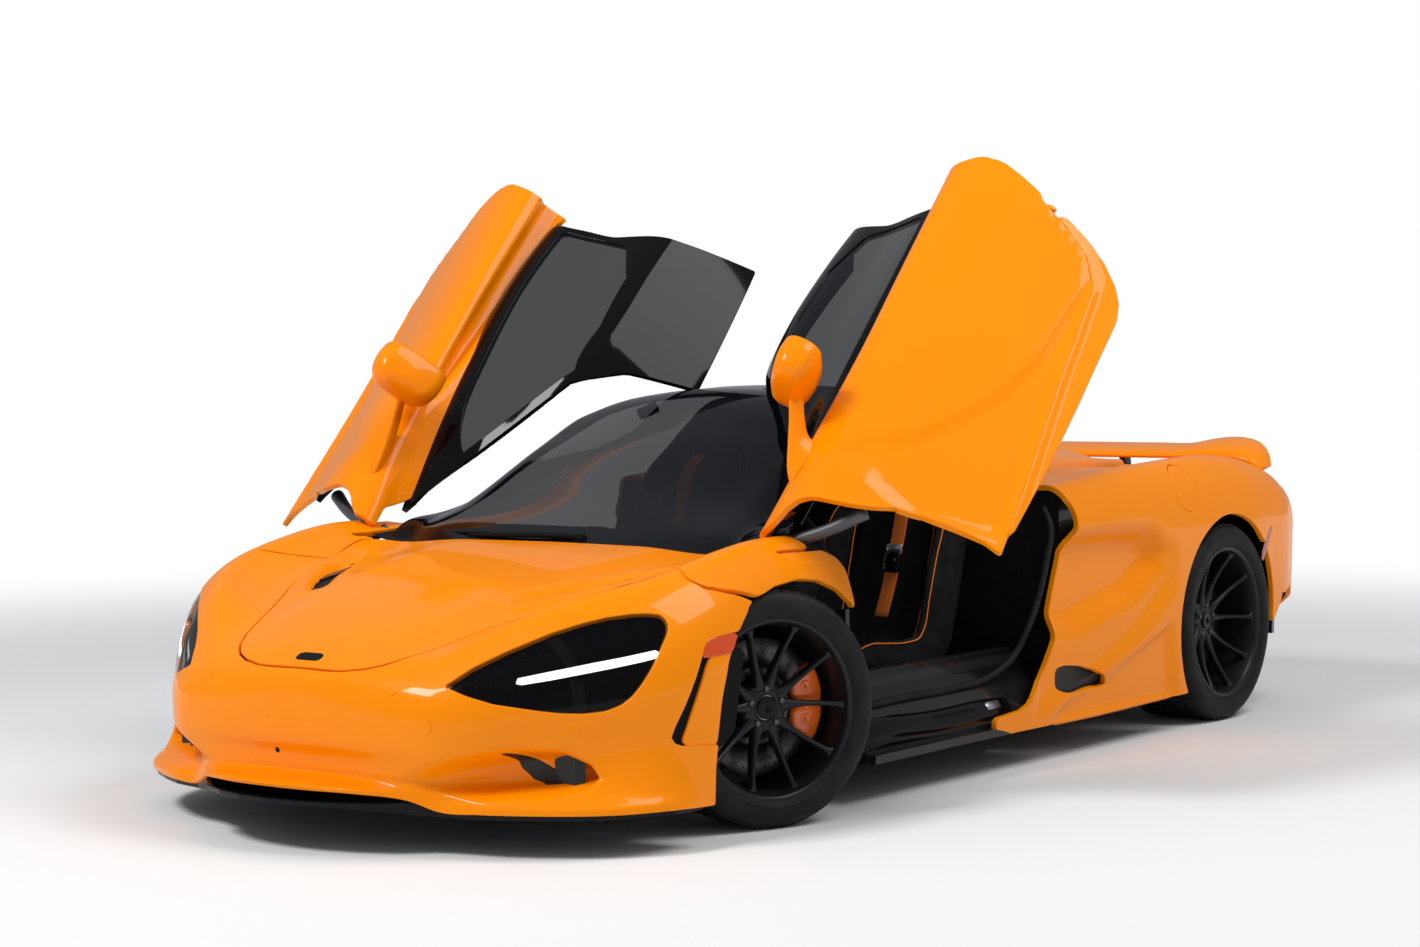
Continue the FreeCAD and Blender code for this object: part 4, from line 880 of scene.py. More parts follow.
def leather_finish(name, colour):
    """Fine-grained leather."""
    made = Finish(name, colour, 0.48, Specular_IOR_Level=0.25)
    grain = made.cells(420.0)
    broad = made.noise(9.0, 2.0)
    light = tuple(c * 1.6 + 0.004 for c in colour)
    made.vary("Base Color", made.blend(grain.smooth(0.0, 0.8) * 0.6 + broad * 0.2, rgba(colour),
                                       rgba(light)))
    made.vary("Roughness", 0.40 + grain * 0.3)
    made.bumps(grain, 0.30, 0.0006)
    return made.material


def webbing_finish(name, colour):
    """Belt webbing with ribs across its length, painted darker in the valleys between the ribs as shade."""
    made = Finish(name, colour, 0.65)
    _, y, z = made.axes()
    rib = ((y + z) / 0.0022 * math.pi).sine().size()
    # Darker colour in the valleys between the ribs: painted shade
    dark = tuple(c * 0.55 for c in colour)
    made.vary("Base Color", made.blend(rib, rgba(dark), rgba(colour)))
    made.bumps(rib, 0.35, 0.0005)
    return made.material


def perforated_finish(name, colour):
    """Open screen: round holes in a black sheet, drawn as darker dots with a sunk bump; their dark is
    painted shade.
    """
    made = Finish(name, colour, 0.5)
    cell = made.cells(150.0).smooth(0.32, 0.40)
    # Holes painted darker than the sheet: painted shade seen through them
    made.vary("Base Color", made.blend(cell, rgba((0.003, 0.003, 0.003)), rgba(colour)))
    made.bumps(cell, 0.6, 0.002)
    return made.material


def glowing_finish(name, colour, strength):
    """Light bar with fine cells across it."""
    made = Finish(name, colour, 0.3)
    cell = made.noise(260.0, 1.0).smooth(0.2, 0.8)
    made.vary("Emission Color", made.blend(cell, rgba(tuple(0.75 * c for c in colour)), rgba(colour)))
    made.surface.inputs["Emission Strength"].default_value = strength
    return made.material


# Sizes and colours that a user may change


class PaintSettings(bpy.types.PropertyGroup):
    """Colours of the painted and trimmed surfaces."""
    colour: bpy.props.FloatVectorProperty(
        name="Paint", description="Main colour of the body", subtype="COLOR", size=3,
        default=(1.0, 0.285, 0.0))
    deep: bpy.props.FloatVectorProperty(
        name="Deep tone", description="Tone between the flakes", subtype="COLOR", size=3,
        default=(0.97, 0.19, 0.0))
    gap: bpy.props.FloatProperty(
        name="Shut gap", description="Width of the gaps between panels", unit="LENGTH", default=0.0045)


class WheelSettings(bpy.types.PropertyGroup):
    """Sizes of the wheels."""
    spoke_pairs: bpy.props.IntProperty(name="Spoke pairs", description="Pairs of spokes on each wheel",
                                       default=5)
    tread_pitch: bpy.props.FloatProperty(
        name="Tread pitch", description="Length of one tread block", unit="LENGTH", default=0.034)


class StageSettings(bpy.types.PropertyGroup):
    """Light of the studio."""
    sky: bpy.props.FloatProperty(name="Sky", description="Strength of the soft light all round",
                                 default=0.36)
    key: bpy.props.FloatProperty(name="Key lamp", description="Power of the main lamp in watts",
                                 default=420.0)


FINISHES = {}


def make_finishes(paint):
    """Every material, once, from the settings."""
    FINISHES.update({
        "paint": paint_finish("orange_clearcoat", tuple(paint.colour), tuple(paint.deep)),
        "carbon": woven_finish("lacquered_carbon", (0.004, 0.004, 0.0045), (0.026, 0.026, 0.028), 0.004),
        "gloss_black": plain_finish("gloss_black", (0.002, 0.002, 0.0025), 0.08, 30.0, 0.01,
                                    Coat_Weight=0.14, Coat_Roughness=0.01,
                                    Specular_IOR_Level=0.08),
        # The main glass is dark and nearly opaque: partly its own tint, partly painted shade of the cabin
        # and engine bay behind it
        "glass": glass_finish("tinted_glass", (0.002, 0.003, 0.005), 0.935),
        "clear_glass": glass_finish("lens_glass", (0.03, 0.035, 0.04), 0.14),
        "smoked": glass_finish("smoked_lens", (0.002, 0.002, 0.0025), 0.50),
        "rubber": tyre_finish(),
        "graphite": plain_finish("satin_graphite", (0.014, 0.014, 0.016), 0.36, 260.0, 0.05, Metallic=0.5,
                                 Specular_IOR_Level=0.35),
        "disc": disc_finish(),
        "caliper": plain_finish("orange_enamel", (0.90, 0.13, 0.004), 0.30, 90.0, 0.05, Coat_Weight=0.6),
        "suede": suede_finish("black_suede", (0.005, 0.005, 0.0055), (0.020, 0.020, 0.021)),
        "leather": leather_finish("black_leather", (0.006, 0.006, 0.0065)),
        "orange_leather": leather_finish("orange_leather", (0.85, 0.20, 0.01)),
        "belt": webbing_finish("orange_webbing", (0.90, 0.19, 0.01)),
        "trim": plain_finish("grained_trim", (0.007, 0.007, 0.0075), 0.66, 420.0, 0.35,
                             Specular_IOR_Level=0.15),
        "carpet": suede_finish("black_carpet", (0.005, 0.005, 0.0055), (0.014, 0.014, 0.0145)),
        "matt": plain_finish("matt_black", (0.003, 0.003, 0.003), 0.7, 200.0, 0.15, Specular_IOR_Level=0.1),
        "screen": perforated_finish("black_screen", (0.012, 0.012, 0.0125)),
        "alloy": plain_finish("satin_alloy", (0.42, 0.42, 0.44), 0.35, 160.0, 0.08, Metallic=1.0),
        "steel": plain_finish("heat_toned_steel", (0.30, 0.26, 0.22), 0.30, 60.0, 0.05, Metallic=1.0),
        "dark_metal": plain_finish("cast_metal", (0.10, 0.10, 0.105), 0.5, 220.0, 0.25, Metallic=0.8),
        "red_lens": plain_finish("red_lens", (0.24, 0.004, 0.003), 0.12, 90.0, 0.10, Coat_Weight=0.3),
        "amber_lens": plain_finish("amber_lens", (0.62, 0.060, 0.001), 0.14, 90.0, 0.10, Coat_Weight=0.4),
        "led": glowing_finish("light_bar", (1.0, 1.0, 1.0), 3.2),
        "mirror": plain_finish("mirror_glass", (0.85, 0.87, 0.88), 0.02, 10.0, 0.005, Metallic=1.0),
    })


NODE_FINISHES = {
    "tub": "carbon", "front_bumper": "paint", "front_splitter": "paint", "front_grilles": "screen",
    "front_wings": "paint", "headlamps": "gloss_black", "windscreen": "glass", "roof_frame": "gloss_black",
    "rear_canopy": "paint", "engine_cover": "glass", "rear_window": "glass", "engine_deck": "paint",
    "rear_quarters": "paint", "rear_bumper": "paint", "tail_grille": "screen", "exhaust": "steel",
    "tail_lamps": "red_lens", "diffuser": "carbon", "side_skirts": "carbon", "dashboard": "trim",
    "seats": "suede", "seat_belts": "belt", "engine_block": "dark_metal", "front_wishbones": "alloy",
    "rear_wishbones": "alloy", "rear_knuckles": "alloy", "rear_calipers": "caliper", "bonnet": "paint",
    "rear_wing": "paint", "steering_wheel": "suede",
}
SIDES = (("left", 1.0), ("right", -1.0))
for side_name, _ in SIDES:
    NODE_FINISHES.update({
        "door_" + side_name: "paint", "door_glass_" + side_name: "glass", "mirror_" + side_name: "paint",
        "knuckle_front_" + side_name: "alloy", "brake_caliper_front_" + side_name: "caliper",
        **{f"tyre_{end}_{side_name}": "rubber" for end in ("front", "rear")},
        **{f"rim_{end}_{side_name}": "graphite" for end in ("front", "rear")},
        **{f"brake_disc_{end}_{side_name}": "disc" for end in ("front", "rear")},
    })


def dress_nodes():
    """Gives every carried-over CAD node its material."""
    for name, finish in NODE_FINISHES.items():
        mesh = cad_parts[name].data
        for k in range(max(1, len(mesh.materials))):
            if k < len(mesh.materials):
                mesh.materials[k] = FINISHES[finish]
            else:
                mesh.materials.append(FINISHES[finish])


class SUPERCAR_OT_finishes(bpy.types.Operator):
    """Makes the materials and gives them to the carried-over parts"""
    bl_idname = "supercar.finishes"
    bl_label = "Materials"

    def execute(self, context):
        make_finishes(context.scene.supercar_paint)
        dress_nodes()
        return {"FINISHED"}


# Stage and camera, solved from the photograph's wheels and body


CAMERA_AT = Vector((5.2441, -7.3899, 1.2799))
CAMERA_AZIMUTH = 36.4334
CAMERA_PITCH = 2.3492
CAMERA_ROLL = -0.5046
FOCAL_PIXELS = 2764.61
PHOTO_WIDTH = 1420


def place_camera():
    """Camera at the photograph's point of view."""
    a, p, r = (math.radians(v) for v in (CAMERA_AZIMUTH, CAMERA_PITCH, CAMERA_ROLL))
    ahead = Vector((-math.sin(a) * math.cos(p), math.cos(a) * math.cos(p), -math.sin(p)))
    right = Vector((math.cos(a), math.sin(a), 0.0))
    up = right.cross(ahead)
    across = right * math.cos(r) + up * math.sin(r)
    above = -right * math.sin(r) + up * math.cos(r)
    data = bpy.data.cameras.new("photo_view")
    data.sensor_width = 36.0
    data.lens = data.sensor_width * FOCAL_PIXELS / PHOTO_WIDTH
    camera = bpy.data.objects.new("photo_view", data)
    facing = Matrix((across, above, -ahead)).transposed().to_4x4()
    camera.matrix_world = Matrix.Translation(CAMERA_AT) @ facing
    bpy.context.scene.collection.objects.link(camera)
    bpy.context.scene.camera = camera


def soft_lamp(name, at, towards, size, power, colour=(1.0, 1.0, 1.0)):
    """Large square lamp that faces a point."""
    data = bpy.data.lights.new(name, "AREA")
    data.shape = "RECTANGLE"
    data.size, data.size_y = size
    data.energy = power
    data.color = colour
    lamp = bpy.data.objects.new(name, data)
    lamp.matrix_world = (Matrix.Translation(at)
                         @ (Vector(towards) - Vector(at)).to_track_quat("-Z", "Y").to_matrix().to_4x4())
    bpy.context.scene.collection.objects.link(lamp)


def white_behind(tree, shader_socket, output_socket, strength):
    """Shows white to the camera and through clear surfaces, and the shader to the light."""
    path = tree.nodes.new("ShaderNodeLightPath")
    seen = tree.nodes.new("ShaderNodeMath")
    seen.operation = "ADD"
    seen.use_clamp = True
    tree.links.new(path.outputs["Is Camera Ray"], seen.inputs[0])
    tree.links.new(path.outputs["Is Transmission Ray"], seen.inputs[1])
    white = tree.nodes.new("ShaderNodeBackground")
    white.inputs["Color"].default_value = (1.0, 1.0, 1.0, 1.0)
    white.inputs["Strength"].default_value = strength
    mix = tree.nodes.new("ShaderNodeMixShader")
    tree.links.new(seen.outputs[0], mix.inputs[0])
    tree.links.new(shader_socket, mix.inputs[1])
    tree.links.new(white.outputs[0], mix.inputs[2])
    tree.links.new(mix.outputs[0], output_socket)


def fade_far(ground):
    """Lets the floor pass into the white surroundings well away from the car."""
    x, y, _ = ground.axes()
    away = ((x * x + y * y) ** 0.5).smooth(3.2, 9.0)
    tree = ground.tree
    output = tree.nodes["Material Output"].inputs["Surface"]
    white = tree.nodes.new("ShaderNodeEmission")
    white.inputs["Color"].default_value = (1.0, 1.0, 1.0, 1.0)
    mix = tree.nodes.new("ShaderNodeMixShader")
    tree.links.new(away.socket, mix.inputs[0])
    tree.links.new(ground.surface.outputs[0], mix.inputs[1])
    tree.links.new(white.outputs[0], mix.inputs[2])
    tree.links.new(mix.outputs[0], output)


def set_stage(stage):
    """Pale floor, soft lamps, pale surroundings."""
    world = bpy.data.worlds.new("studio")
    bpy.context.scene.world = world
    world.use_nodes = True
    background = world.node_tree.nodes["Background"]
    background.inputs["Color"].default_value = (0.86, 0.90, 0.96, 1.0)
    background.inputs["Strength"].default_value = stage.sky
    surface = world.node_tree.nodes["World Output"].inputs["Surface"]
    white_behind(world.node_tree, background.outputs[0], surface, 1.0)
    half = 400.0
    corners = [(-half, -half, 0), (half, -half, 0), (half, half, 0), (-half, half, 0)]
    ground = Finish("pale_floor", (0.90, 0.90, 0.89), 0.8)
    grain = ground.noise(60.0, 3.0)
    ground.vary("Base Color", ground.blend(grain * 0.5, rgba((0.90, 0.90, 0.89)), rgba((0.95, 0.95, 0.94))))
    floor = mesh_object("floor", np.array(corners, float), [(0, 1, 2, 3)], ground.material, smooth=False)
    fade_far(ground)
    soft_lamp("key_lamp", (-1.5, -6.5, 7.0), (0, -0.6, 0.5), (2.4, 2.0), stage.key)
    soft_lamp("top_lamp", (4.5, 1.0, 7.0), (0, 0, 0.5), (4.0, 4.0), stage.key * 0.7)
    bpy.context.scene.view_settings.view_transform = "Standard"


class SUPERCAR_OT_stage(bpy.types.Operator):
    """Sets the camera, the floor and the lamps"""
    bl_idname = "supercar.stage"
    bl_label = "Stage"

    def execute(self, context):
        place_camera()
        set_stage(context.scene.supercar_stage)
        return {"FINISHED"}


# Painted panels


HEM_REACH = 0.0036
# Least distance from the middle of what counts as a side face, and as a wheel arch
FLANK_X = 0.75
ARCH_X = 0.70
BODY = Surface([body_columns(k) for k in range(len(BODY_ROWS))], 14, 10)
BODY.close_tip()
CANOPY = Surface([canopy_columns(row) for row in CANOPY_ROWS], 12, 10)

BELT_Y = np.array([row[0] for row in CANOPY_ROWS])
BELT_X = np.array([row[4] for row in CANOPY_ROWS]) * MILLIMETRE
ROUND_REAR = off_wheel(REAR_AXLE_Y, REAR_WHEEL_Z, 0.384, 0.70)


def easing(distance, width):
    """0 at and outside an edge, 1 from the given width inside it, eased between."""
    t = np.clip(-distance / width, 0.0, 1.0)
    return t * t * (3.0 - 2.0 * t)


def folded(p):
    """Points in plan, with the right half laid over the left."""
    return np.stack([np.abs(p[:, 0]), p[:, 1]], axis=1)


def folded_plan(outline, gap=0.0):
    """Outline in plan, the same on both sides."""
    return lambda p: outline_distance(folded(p), outline) + gap


def hollow_bonnet(surface):
    """Presses the two hollows into the bonnet, deepest along their outer slots."""
    p = surface.points
    seen = folded(p)
    depth = 0.030 * easing(outline_distance(seen, RECESS), 0.055)
    outer = np.clip((seen[:, 0] - 0.405 - 0.60 * (seen[:, 1] + 1.68)) / 0.05, 0.0, 1.0)
    ridge = (0.005 + 0.017 * outer) * np.exp(-(np.abs(outline_distance(seen, RECESS)) / 0.026) ** 2)
    shift = np.zeros_like(p)
    shift[:, 2] = np.where(p[:, 2] > 0.4, ridge - depth, 0.0)
    return surface.moved(shift)


def carve(surface):
    """Presses the nose's scoops into the body surface."""
    p = surface.points
    side = np.abs(p[:, 0])
    seen = np.stack([side, p[:, 2]], axis=1)
    ahead = (p[:, 1] < -1.7) & (p[:, 2] < 0.32)
    ramp = np.clip((side - 0.30) / 0.30, 0.0, 1.0)
    depth = easing(outline_distance(seen, SCOOP), 0.045) * ramp * ramp * (3 - 2 * ramp) * 0.088
    shift = np.zeros_like(p)
    shift[:, 1] = np.where(ahead, depth, 0.0)
    return surface.moved(shift)


# Side hollow that feeds the rear intake, the crease under it and the low intake (y, z)
FLANK_HOLLOW = [(0.150, 0.400), (0.200, 0.620), (0.300, 0.735), (0.451, 0.742), (0.671, 0.742),
                (0.914, 0.722), (1.015, 0.635), (0.990, 0.545), (0.800, 0.450), (0.594, 0.410),
                (0.400, 0.370)]
FLANK_DIP = [(0.100, 0.120), (0.150, 0.740), (0.900, 0.760), (1.090, 0.640), (1.090, 0.480), (0.860, 0.330),
             (0.500, 0.190)]
FLANK_CREASE = [(0.100, 0.120), (0.377, 0.184), (0.538, 0.207), (0.634, 0.248), (0.803, 0.307),
                (0.942, 0.396), (1.109, 0.484), (1.300, 0.620), (1.300, 1.000), (-0.300, 1.000),
                (-0.300, 0.120)]
LOW_INTAKE = [(0.285, 0.228), (0.284, 0.290), (0.340, 0.297), (0.436, 0.287), (0.534, 0.266),
              (0.590, 0.236), (0.612, 0.216), (0.560, 0.207), (0.440, 0.205), (0.340, 0.210)]
LOW_SCALLOP = [(0.20, 0.10), (0.30, 0.19), (0.62, 0.27), (1.05, 0.40), (1.10, 0.10)]
FUEL_CAP = (1.178, 0.828)
FUEL_CAP_R = 0.080
TAIL_MARKER = [(1.722, 0.530), (1.760, 0.560), (1.800, 0.610), (1.836, 0.652), (1.828, 0.668),
               (1.790, 0.640), (1.750, 0.590), (1.716, 0.545)]


def hollow_flank(surface):
    """Presses the long hollow into each quarter, ended by a crease below."""
    p = surface.points
    seen = p[:, 1:]
    hollow = 0.046 * easing(outline_distance(seen, FLANK_HOLLOW), 0.095)
    dip = 0.020 * easing(outline_distance(seen, FLANK_DIP), 0.10)
    depth = (hollow + dip) * easing(outline_distance(seen, FLANK_CREASE), 0.022)
    hump = 0.010 * np.exp(-((p[:, 1] - 1.50) / 0.34) ** 2) * np.exp(-((p[:, 2] - 0.56) / 0.20) ** 2)
    low = 0.020 * easing(outline_distance(seen, LOW_SCALLOP), 0.05)
    ahead_of_arch = np.clip((1.30 - p[:, 1]) / 0.2, 0.0, 1.0)
    shift = np.zeros_like(p)
    inward = hump - depth - low * ahead_of_arch
    shift[:, 0] = np.sign(p[:, 0]) * np.where((np.abs(p[:, 0]) > 0.80) & (p[:, 1] > 0.0), inward, 0.0)
    shoulder = np.exp(-((p[:, 1] - 0.80) / 0.13) ** 2) * np.exp(-((np.abs(p[:, 0]) - 0.69) / 0.09) ** 2)
    shift[:, 2] = np.where(p[:, 2] > 0.70, 0.022 * shoulder, 0.0)
    return surface.moved(shift)


# Folds of the door's skin (y, z): the sweep under the mirror and the folded lower band
DOOR_SWEEP = [(-0.760, 0.700), (-0.664, 0.673), (-0.584, 0.537), (-0.447, 0.446), (-0.325, 0.384),
              (-0.184, 0.352), (-0.028, 0.344), (0.126, 0.335), (0.240, 0.380), (0.230, 0.320),
              (0.150, 0.290), (-0.038, 0.262), (-0.222, 0.236), (-0.436, 0.200), (-0.645, 0.166),
              (-0.800, 0.150), (-0.860, 0.420)]
DOOR_BAND = [(0.500, 0.640), (0.340, 0.560), (0.289, 0.468), (0.210, 0.350), (0.120, 0.292),
             (-0.038, 0.269), (-0.222, 0.243), (-0.436, 0.207), (-0.645, 0.172), (-0.900, 0.128),
             (-0.900, 0.050), (0.500, 0.050)]
# Air channel along the door's top, seen from above
DOOR_CHANNEL = [(0.835, -0.600), (0.846, -0.400), (0.846, -0.100), (0.836, 0.200), (0.822, 0.600),
                (0.706, 0.600), (0.716, 0.300), (0.742, 0.000), (0.772, -0.300), (0.806, -0.560)]


def fold_door(surface):
    """Presses the sweep, the folded lower band and the upper channel into the door skins."""
    p = surface.points
    seen = p[:, 1:]
    band = outline_distance(seen, DOOR_BAND)
    inward = 0.013 * easing(outline_distance(seen, DOOR_SWEEP), 0.045) + 0.012 * easing(band, 0.030)
    shift = np.zeros_like(p)
    shift[:, 0] = -np.sign(p[:, 0]) * np.where(np.abs(p[:, 0]) > 0.62, inward, 0.0)
    rising = np.clip((p[:, 1] + 0.60) / 0.35, 0.0, 1.0)
    channel = 0.044 * easing(outline_distance(folded(p), DOOR_CHANNEL), 0.030) * rising
    shift[:, 2] = np.where(p[:, 2] > 0.70, -channel, 0.0)
    return surface.moved(shift)


# The body's form with its hollows: nose, bonnet, quarters and doors
NOSE = carve(BODY)
BONNET_TOP = hollow_bonnet(BODY)
FLANK = hollow_flank(BODY)
DOOR_FORM = fold_door(BODY)


def clear_of_canopy(gap):
    """Keeps body surface outboard of the canopy's belt line."""
    def distance(p):
        belt = np.interp(p[:, 1], BELT_Y, BELT_X)
        over = (p[:, 1] > BELT_Y[0] - 0.03) & (p[:, 1] < BELT_Y[-1] + 0.02)
        return np.where(over, belt + gap - np.abs(p[:, 0]), -1.0)
    return distance


def left_half(p):
    return -p[:, 0]


def door_lower(gap):
    """The lower door's place in the body surface, grown by the gap."""
    upper = every(in_plan(DOOR_TOP, -gap), beyond(2, 0.750 - gap))
    lower = every(beyond(2, 0.750, -1.0), beyond(0, 0.600))
    return every(in_side(DOOR_SIDE, -gap), either(upper, lower))


def panel(name, surface, region, bodies=("root",), node=None, finish="paint", place=None):
    """Cuts one panel from a surface, folds its edge and puts it on its body, mirrored if it has two."""
    points, faces = hemmed(*clipped(surface.points, surface.faces, region(surface.points)))
    if place is not None:
        points = place(points)
    if len(bodies) == 2:
        made = pair(name, (points, faces), finish, bodies)
    else:
        made = [piece(name, (points, faces), finish, bodies[0])]
    if node is not None:
        for skin in made:
            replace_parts(skin, node)
    return made


def half_gap():
    return bpy.context.scene.supercar_paint.gap / 2 + HEM_REACH


TAIL_SEAM = rear(470)
# Half outline of the deck (x, y), and the tail's mesh opening (x, z)
DECK = [(0.0, front(1632)), (0.610, front(1632)), (0.640, rear(-600)), (0.630, rear(200)),
        (0.600, rear(560)), (0.0, rear(575))]
TAIL_OPENING = [(-0.735, 0.700), (-0.700, 0.470), (-0.560, 0.380), (0.560, 0.380), (0.700, 0.470),
                (0.735, 0.700), (0.560, 0.770), (0.0, 0.788), (-0.560, 0.770)]
# Cut-away behind the rear wheel (y, z)
BEHIND_WHEEL = [(1.70, -0.20), (1.70, 0.250), (1.88, 0.320), (1.96, 0.400), (2.10, 0.430), (2.10, -0.20)]
# Cut-away under the rear bumper, seen from behind (x, z)
TAIL_UNDERCUT = [(-1.2, 0.470), (-0.900, 0.400), (-0.760, 0.300), (-0.700, 0.262), (0.700, 0.262),
                 (0.760, 0.300), (0.900, 0.400), (1.2, 0.470), (1.2, -0.2), (-1.2, -0.2)]


def off_front_wheel():
    return outside(on_side(ARCH_FRONT, ARCH_X), HEM_REACH)


def make_front_panels():
    """Bumper, wings and bonnet."""
    g = half_gap()
    bonnet = outside(in_plan(BONNET), g)
    marker = outside(on_side(MARKER, FLANK_X), HEM_REACH)
    nose = every(folded_plan(NOSE_SEAM, g), bonnet, outside(in_corner(LAMP), HEM_REACH), off_front_wheel(),
                 outside(on_side(WHEEL_VENT, FLANK_X), HEM_REACH), marker)
    panel("nose_skin", NOSE, nose, node="front_bumper")
    wing = every(left_half, outside(folded_plan(NOSE_SEAM), g), bonnet, off_front_wheel(),
                 outside(door_lower(0.0), g), beyond(1, front(420), -1.0), clear_of_canopy(0.002),
                 outside(in_plan(COWL_HALF), g), marker, either(beyond(2, 0.560), beyond(1, -0.980, -1.0)))
    panel("wing_skin", BODY, wing, ("root", "root"), "front_wings")
    lid = every(in_plan(BONNET, g), outside(folded_plan(RECESS_SLOT), HEM_REACH))
    panel("bonnet_skin", BONNET_TOP, lid, ("bonnet",), "bonnet")
    # Matt black sheets just under the bonnet's slots: painted shade of the ducts behind them
    ducts = every(folded_plan(RECESS_SLOT, -0.012), beyond(2, 0.4))
    piece("bonnet_ducts", patch(BONNET_TOP, ducts, 0.014), "matt", "bonnet")
    piece("bonnet_inner", patch(BODY, in_plan(BONNET, 0.030), 0.016), "trim", "bonnet")


# Half outline of the black undertray (x, y)
BLADE = [(0.0, -2.276), (0.10, -2.268), (0.20, -2.243), (0.30, -2.197), (0.385, -2.118), (0.450, -2.086),
         (0.569, -2.056), (0.666, -2.011), (0.750, -1.961), (0.828, -1.900), (0.884, -1.806),
         (0.930, -1.700), (0.938, -1.600), (0.900, -1.575), (0.560, -1.589), (0.0, -1.700)]


def on_nose(region, depth, hem=None):
    """Left piece of the nose's surface, set in by the depth."""
    return patch(NOSE, every(left_half, region), depth, hem)


def make_lamps():
    """Lamp buckets, smoked covers and the bright bar with its bed."""
    pair("lamp_bucket", on_nose(in_corner(LAMP, -0.020), 0.019), "gloss_black")
    lenses = pair("lamp_lens", on_nose(in_corner(LAMP, 0.0015), 0.0025, HEM[:3]), "smoked")
    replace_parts(lenses[0], "headlamps")
    pair("light_bar", on_nose(in_corner(LIGHT_BAR), 0.004), "led")
    bar_bed = [(a, z + (0.010 if z > 0.49 - 0.1 * (a + 0.75) else -0.010)) for a, z in LIGHT_BAR]
    pair("light_bed", on_nose(in_corner(bar_bed), 0.0055), "gloss_black")


def make_nose_details():
    """Lamps, mouth screens, lip blade, vents, markers and the small round covers."""
    make_lamps()
    screens = pair("mouth_screen", on_nose(in_both_fronts(MOUTH, -1.5), -0.0012, HEM[:3]), "screen")
    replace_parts(screens[0], "front_grilles")
    # A matt black sheet just behind each wheel vent's opening: painted shade of the vent's inside
    pair("vent_inside", on_nose(on_side(WHEEL_VENT, FLANK_X, -0.012), 0.011), "matt")
    blade = every(on_side(VENT_BLADE, FLANK_X), off_front_wheel())
    pair("vent_blade", on_nose(blade, 0.004, HEM), "paint")
    marker = every(on_side(MARKER, FLANK_X, 0.002), off_front_wheel())
    pair("side_marker", on_nose(marker, 0.001, HEM[:4]), "amber_lens")
    for name, target in (("sensor_inner", (0.340, -2.140, 0.426)),
                         ("sensor_outer", (0.743, -1.900, 0.336))):
        pair(name, button(NOSE, target, 0.012, 0.0016, 0.0006), "paint")
    piece("tow_cover", button(NOSE, (0.443, -2.138, 0.341), 0.021, 0.0009, 0.0002, 36), "paint")
    piece("nose_camera", button(NOSE, (0.0, -2.163, 0.251), 0.008, 0.0015), "gloss_black")
    plaque = patch(BONNET_TOP, in_plan(rounded_at((0.0, -2.096), 0.086, 0.024)), -0.0016, HEM[:3])
    piece("bonnet_plaque", plaque, "gloss_black", "bonnet")
    make_blade()


def rounded_at(centre, width, height):
    return [(centre[0] + a, centre[1] + b) for a, b in rounded(width, height)]


def make_blade():
    """Black undertray whose middle rises behind the painted lip."""
    outline = mirrored_outline(BLADE)
    shape = slab(outline, -0.007, 0.007, bevel=0.003)
    points = shape[0]
    ahead = np.clip((-1.98 - points[:, 1]) / 0.14, 0.0, 1.0)
    middle = np.clip((0.46 - np.abs(points[:, 0])) / 0.09, 0.0, 1.0)
    points[:, 2] += 0.109 + 0.026 * ahead * ahead * (3 - 2 * ahead) * middle * middle * (3 - 2 * middle)
    tray = piece("splitter_blade", shape, "gloss_black", smooth=False)
    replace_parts(tray, "front_splitter")


COWL_HALF = [(-0.1, -1.075), (0.640, -1.088), (0.705, -1.130), (0.722, front(110)), (0.715, front(430)),
             (-0.1, front(430))]


class SUPERCAR_OT_front_panels(bpy.types.Operator):
    """Makes the bumper, wings and bonnet"""
    bl_idname = "supercar.front_panels"
    bl_label = "Front panels"

    def execute(self, context):
        make_front_panels()
        return {"FINISHED"}


class SUPERCAR_OT_nose_details(bpy.types.Operator):
    """Makes the lamps, mouths, vents and lip of the nose"""
    bl_idname = "supercar.nose_details"
    bl_label = "Nose details"

    def execute(self, context):
        make_nose_details()
        return {"FINISHED"}


def deck_slot(p):
    """Six long slots on each side of the deck."""
    across = np.abs(p[:, 0]) - 0.311
    nearest = np.clip(np.round(across / 0.040), 0, 5)
    beside = np.abs(across - 0.040 * nearest) - 0.010
    past = np.maximum(p[:, 1] - rear(300), rear(-60) - p[:, 1])
    return np.maximum(beside, past)


def near_cap(gap):
    """Inside the round fuel cover on the car's left."""
    def distance(p):
        flat = np.hypot(p[:, 1] - FUEL_CAP[0], p[:, 2] - FUEL_CAP[1]) - FUEL_CAP_R + gap
        return np.where(p[:, 0] > 0.6, flat, 1.0)
    return distance


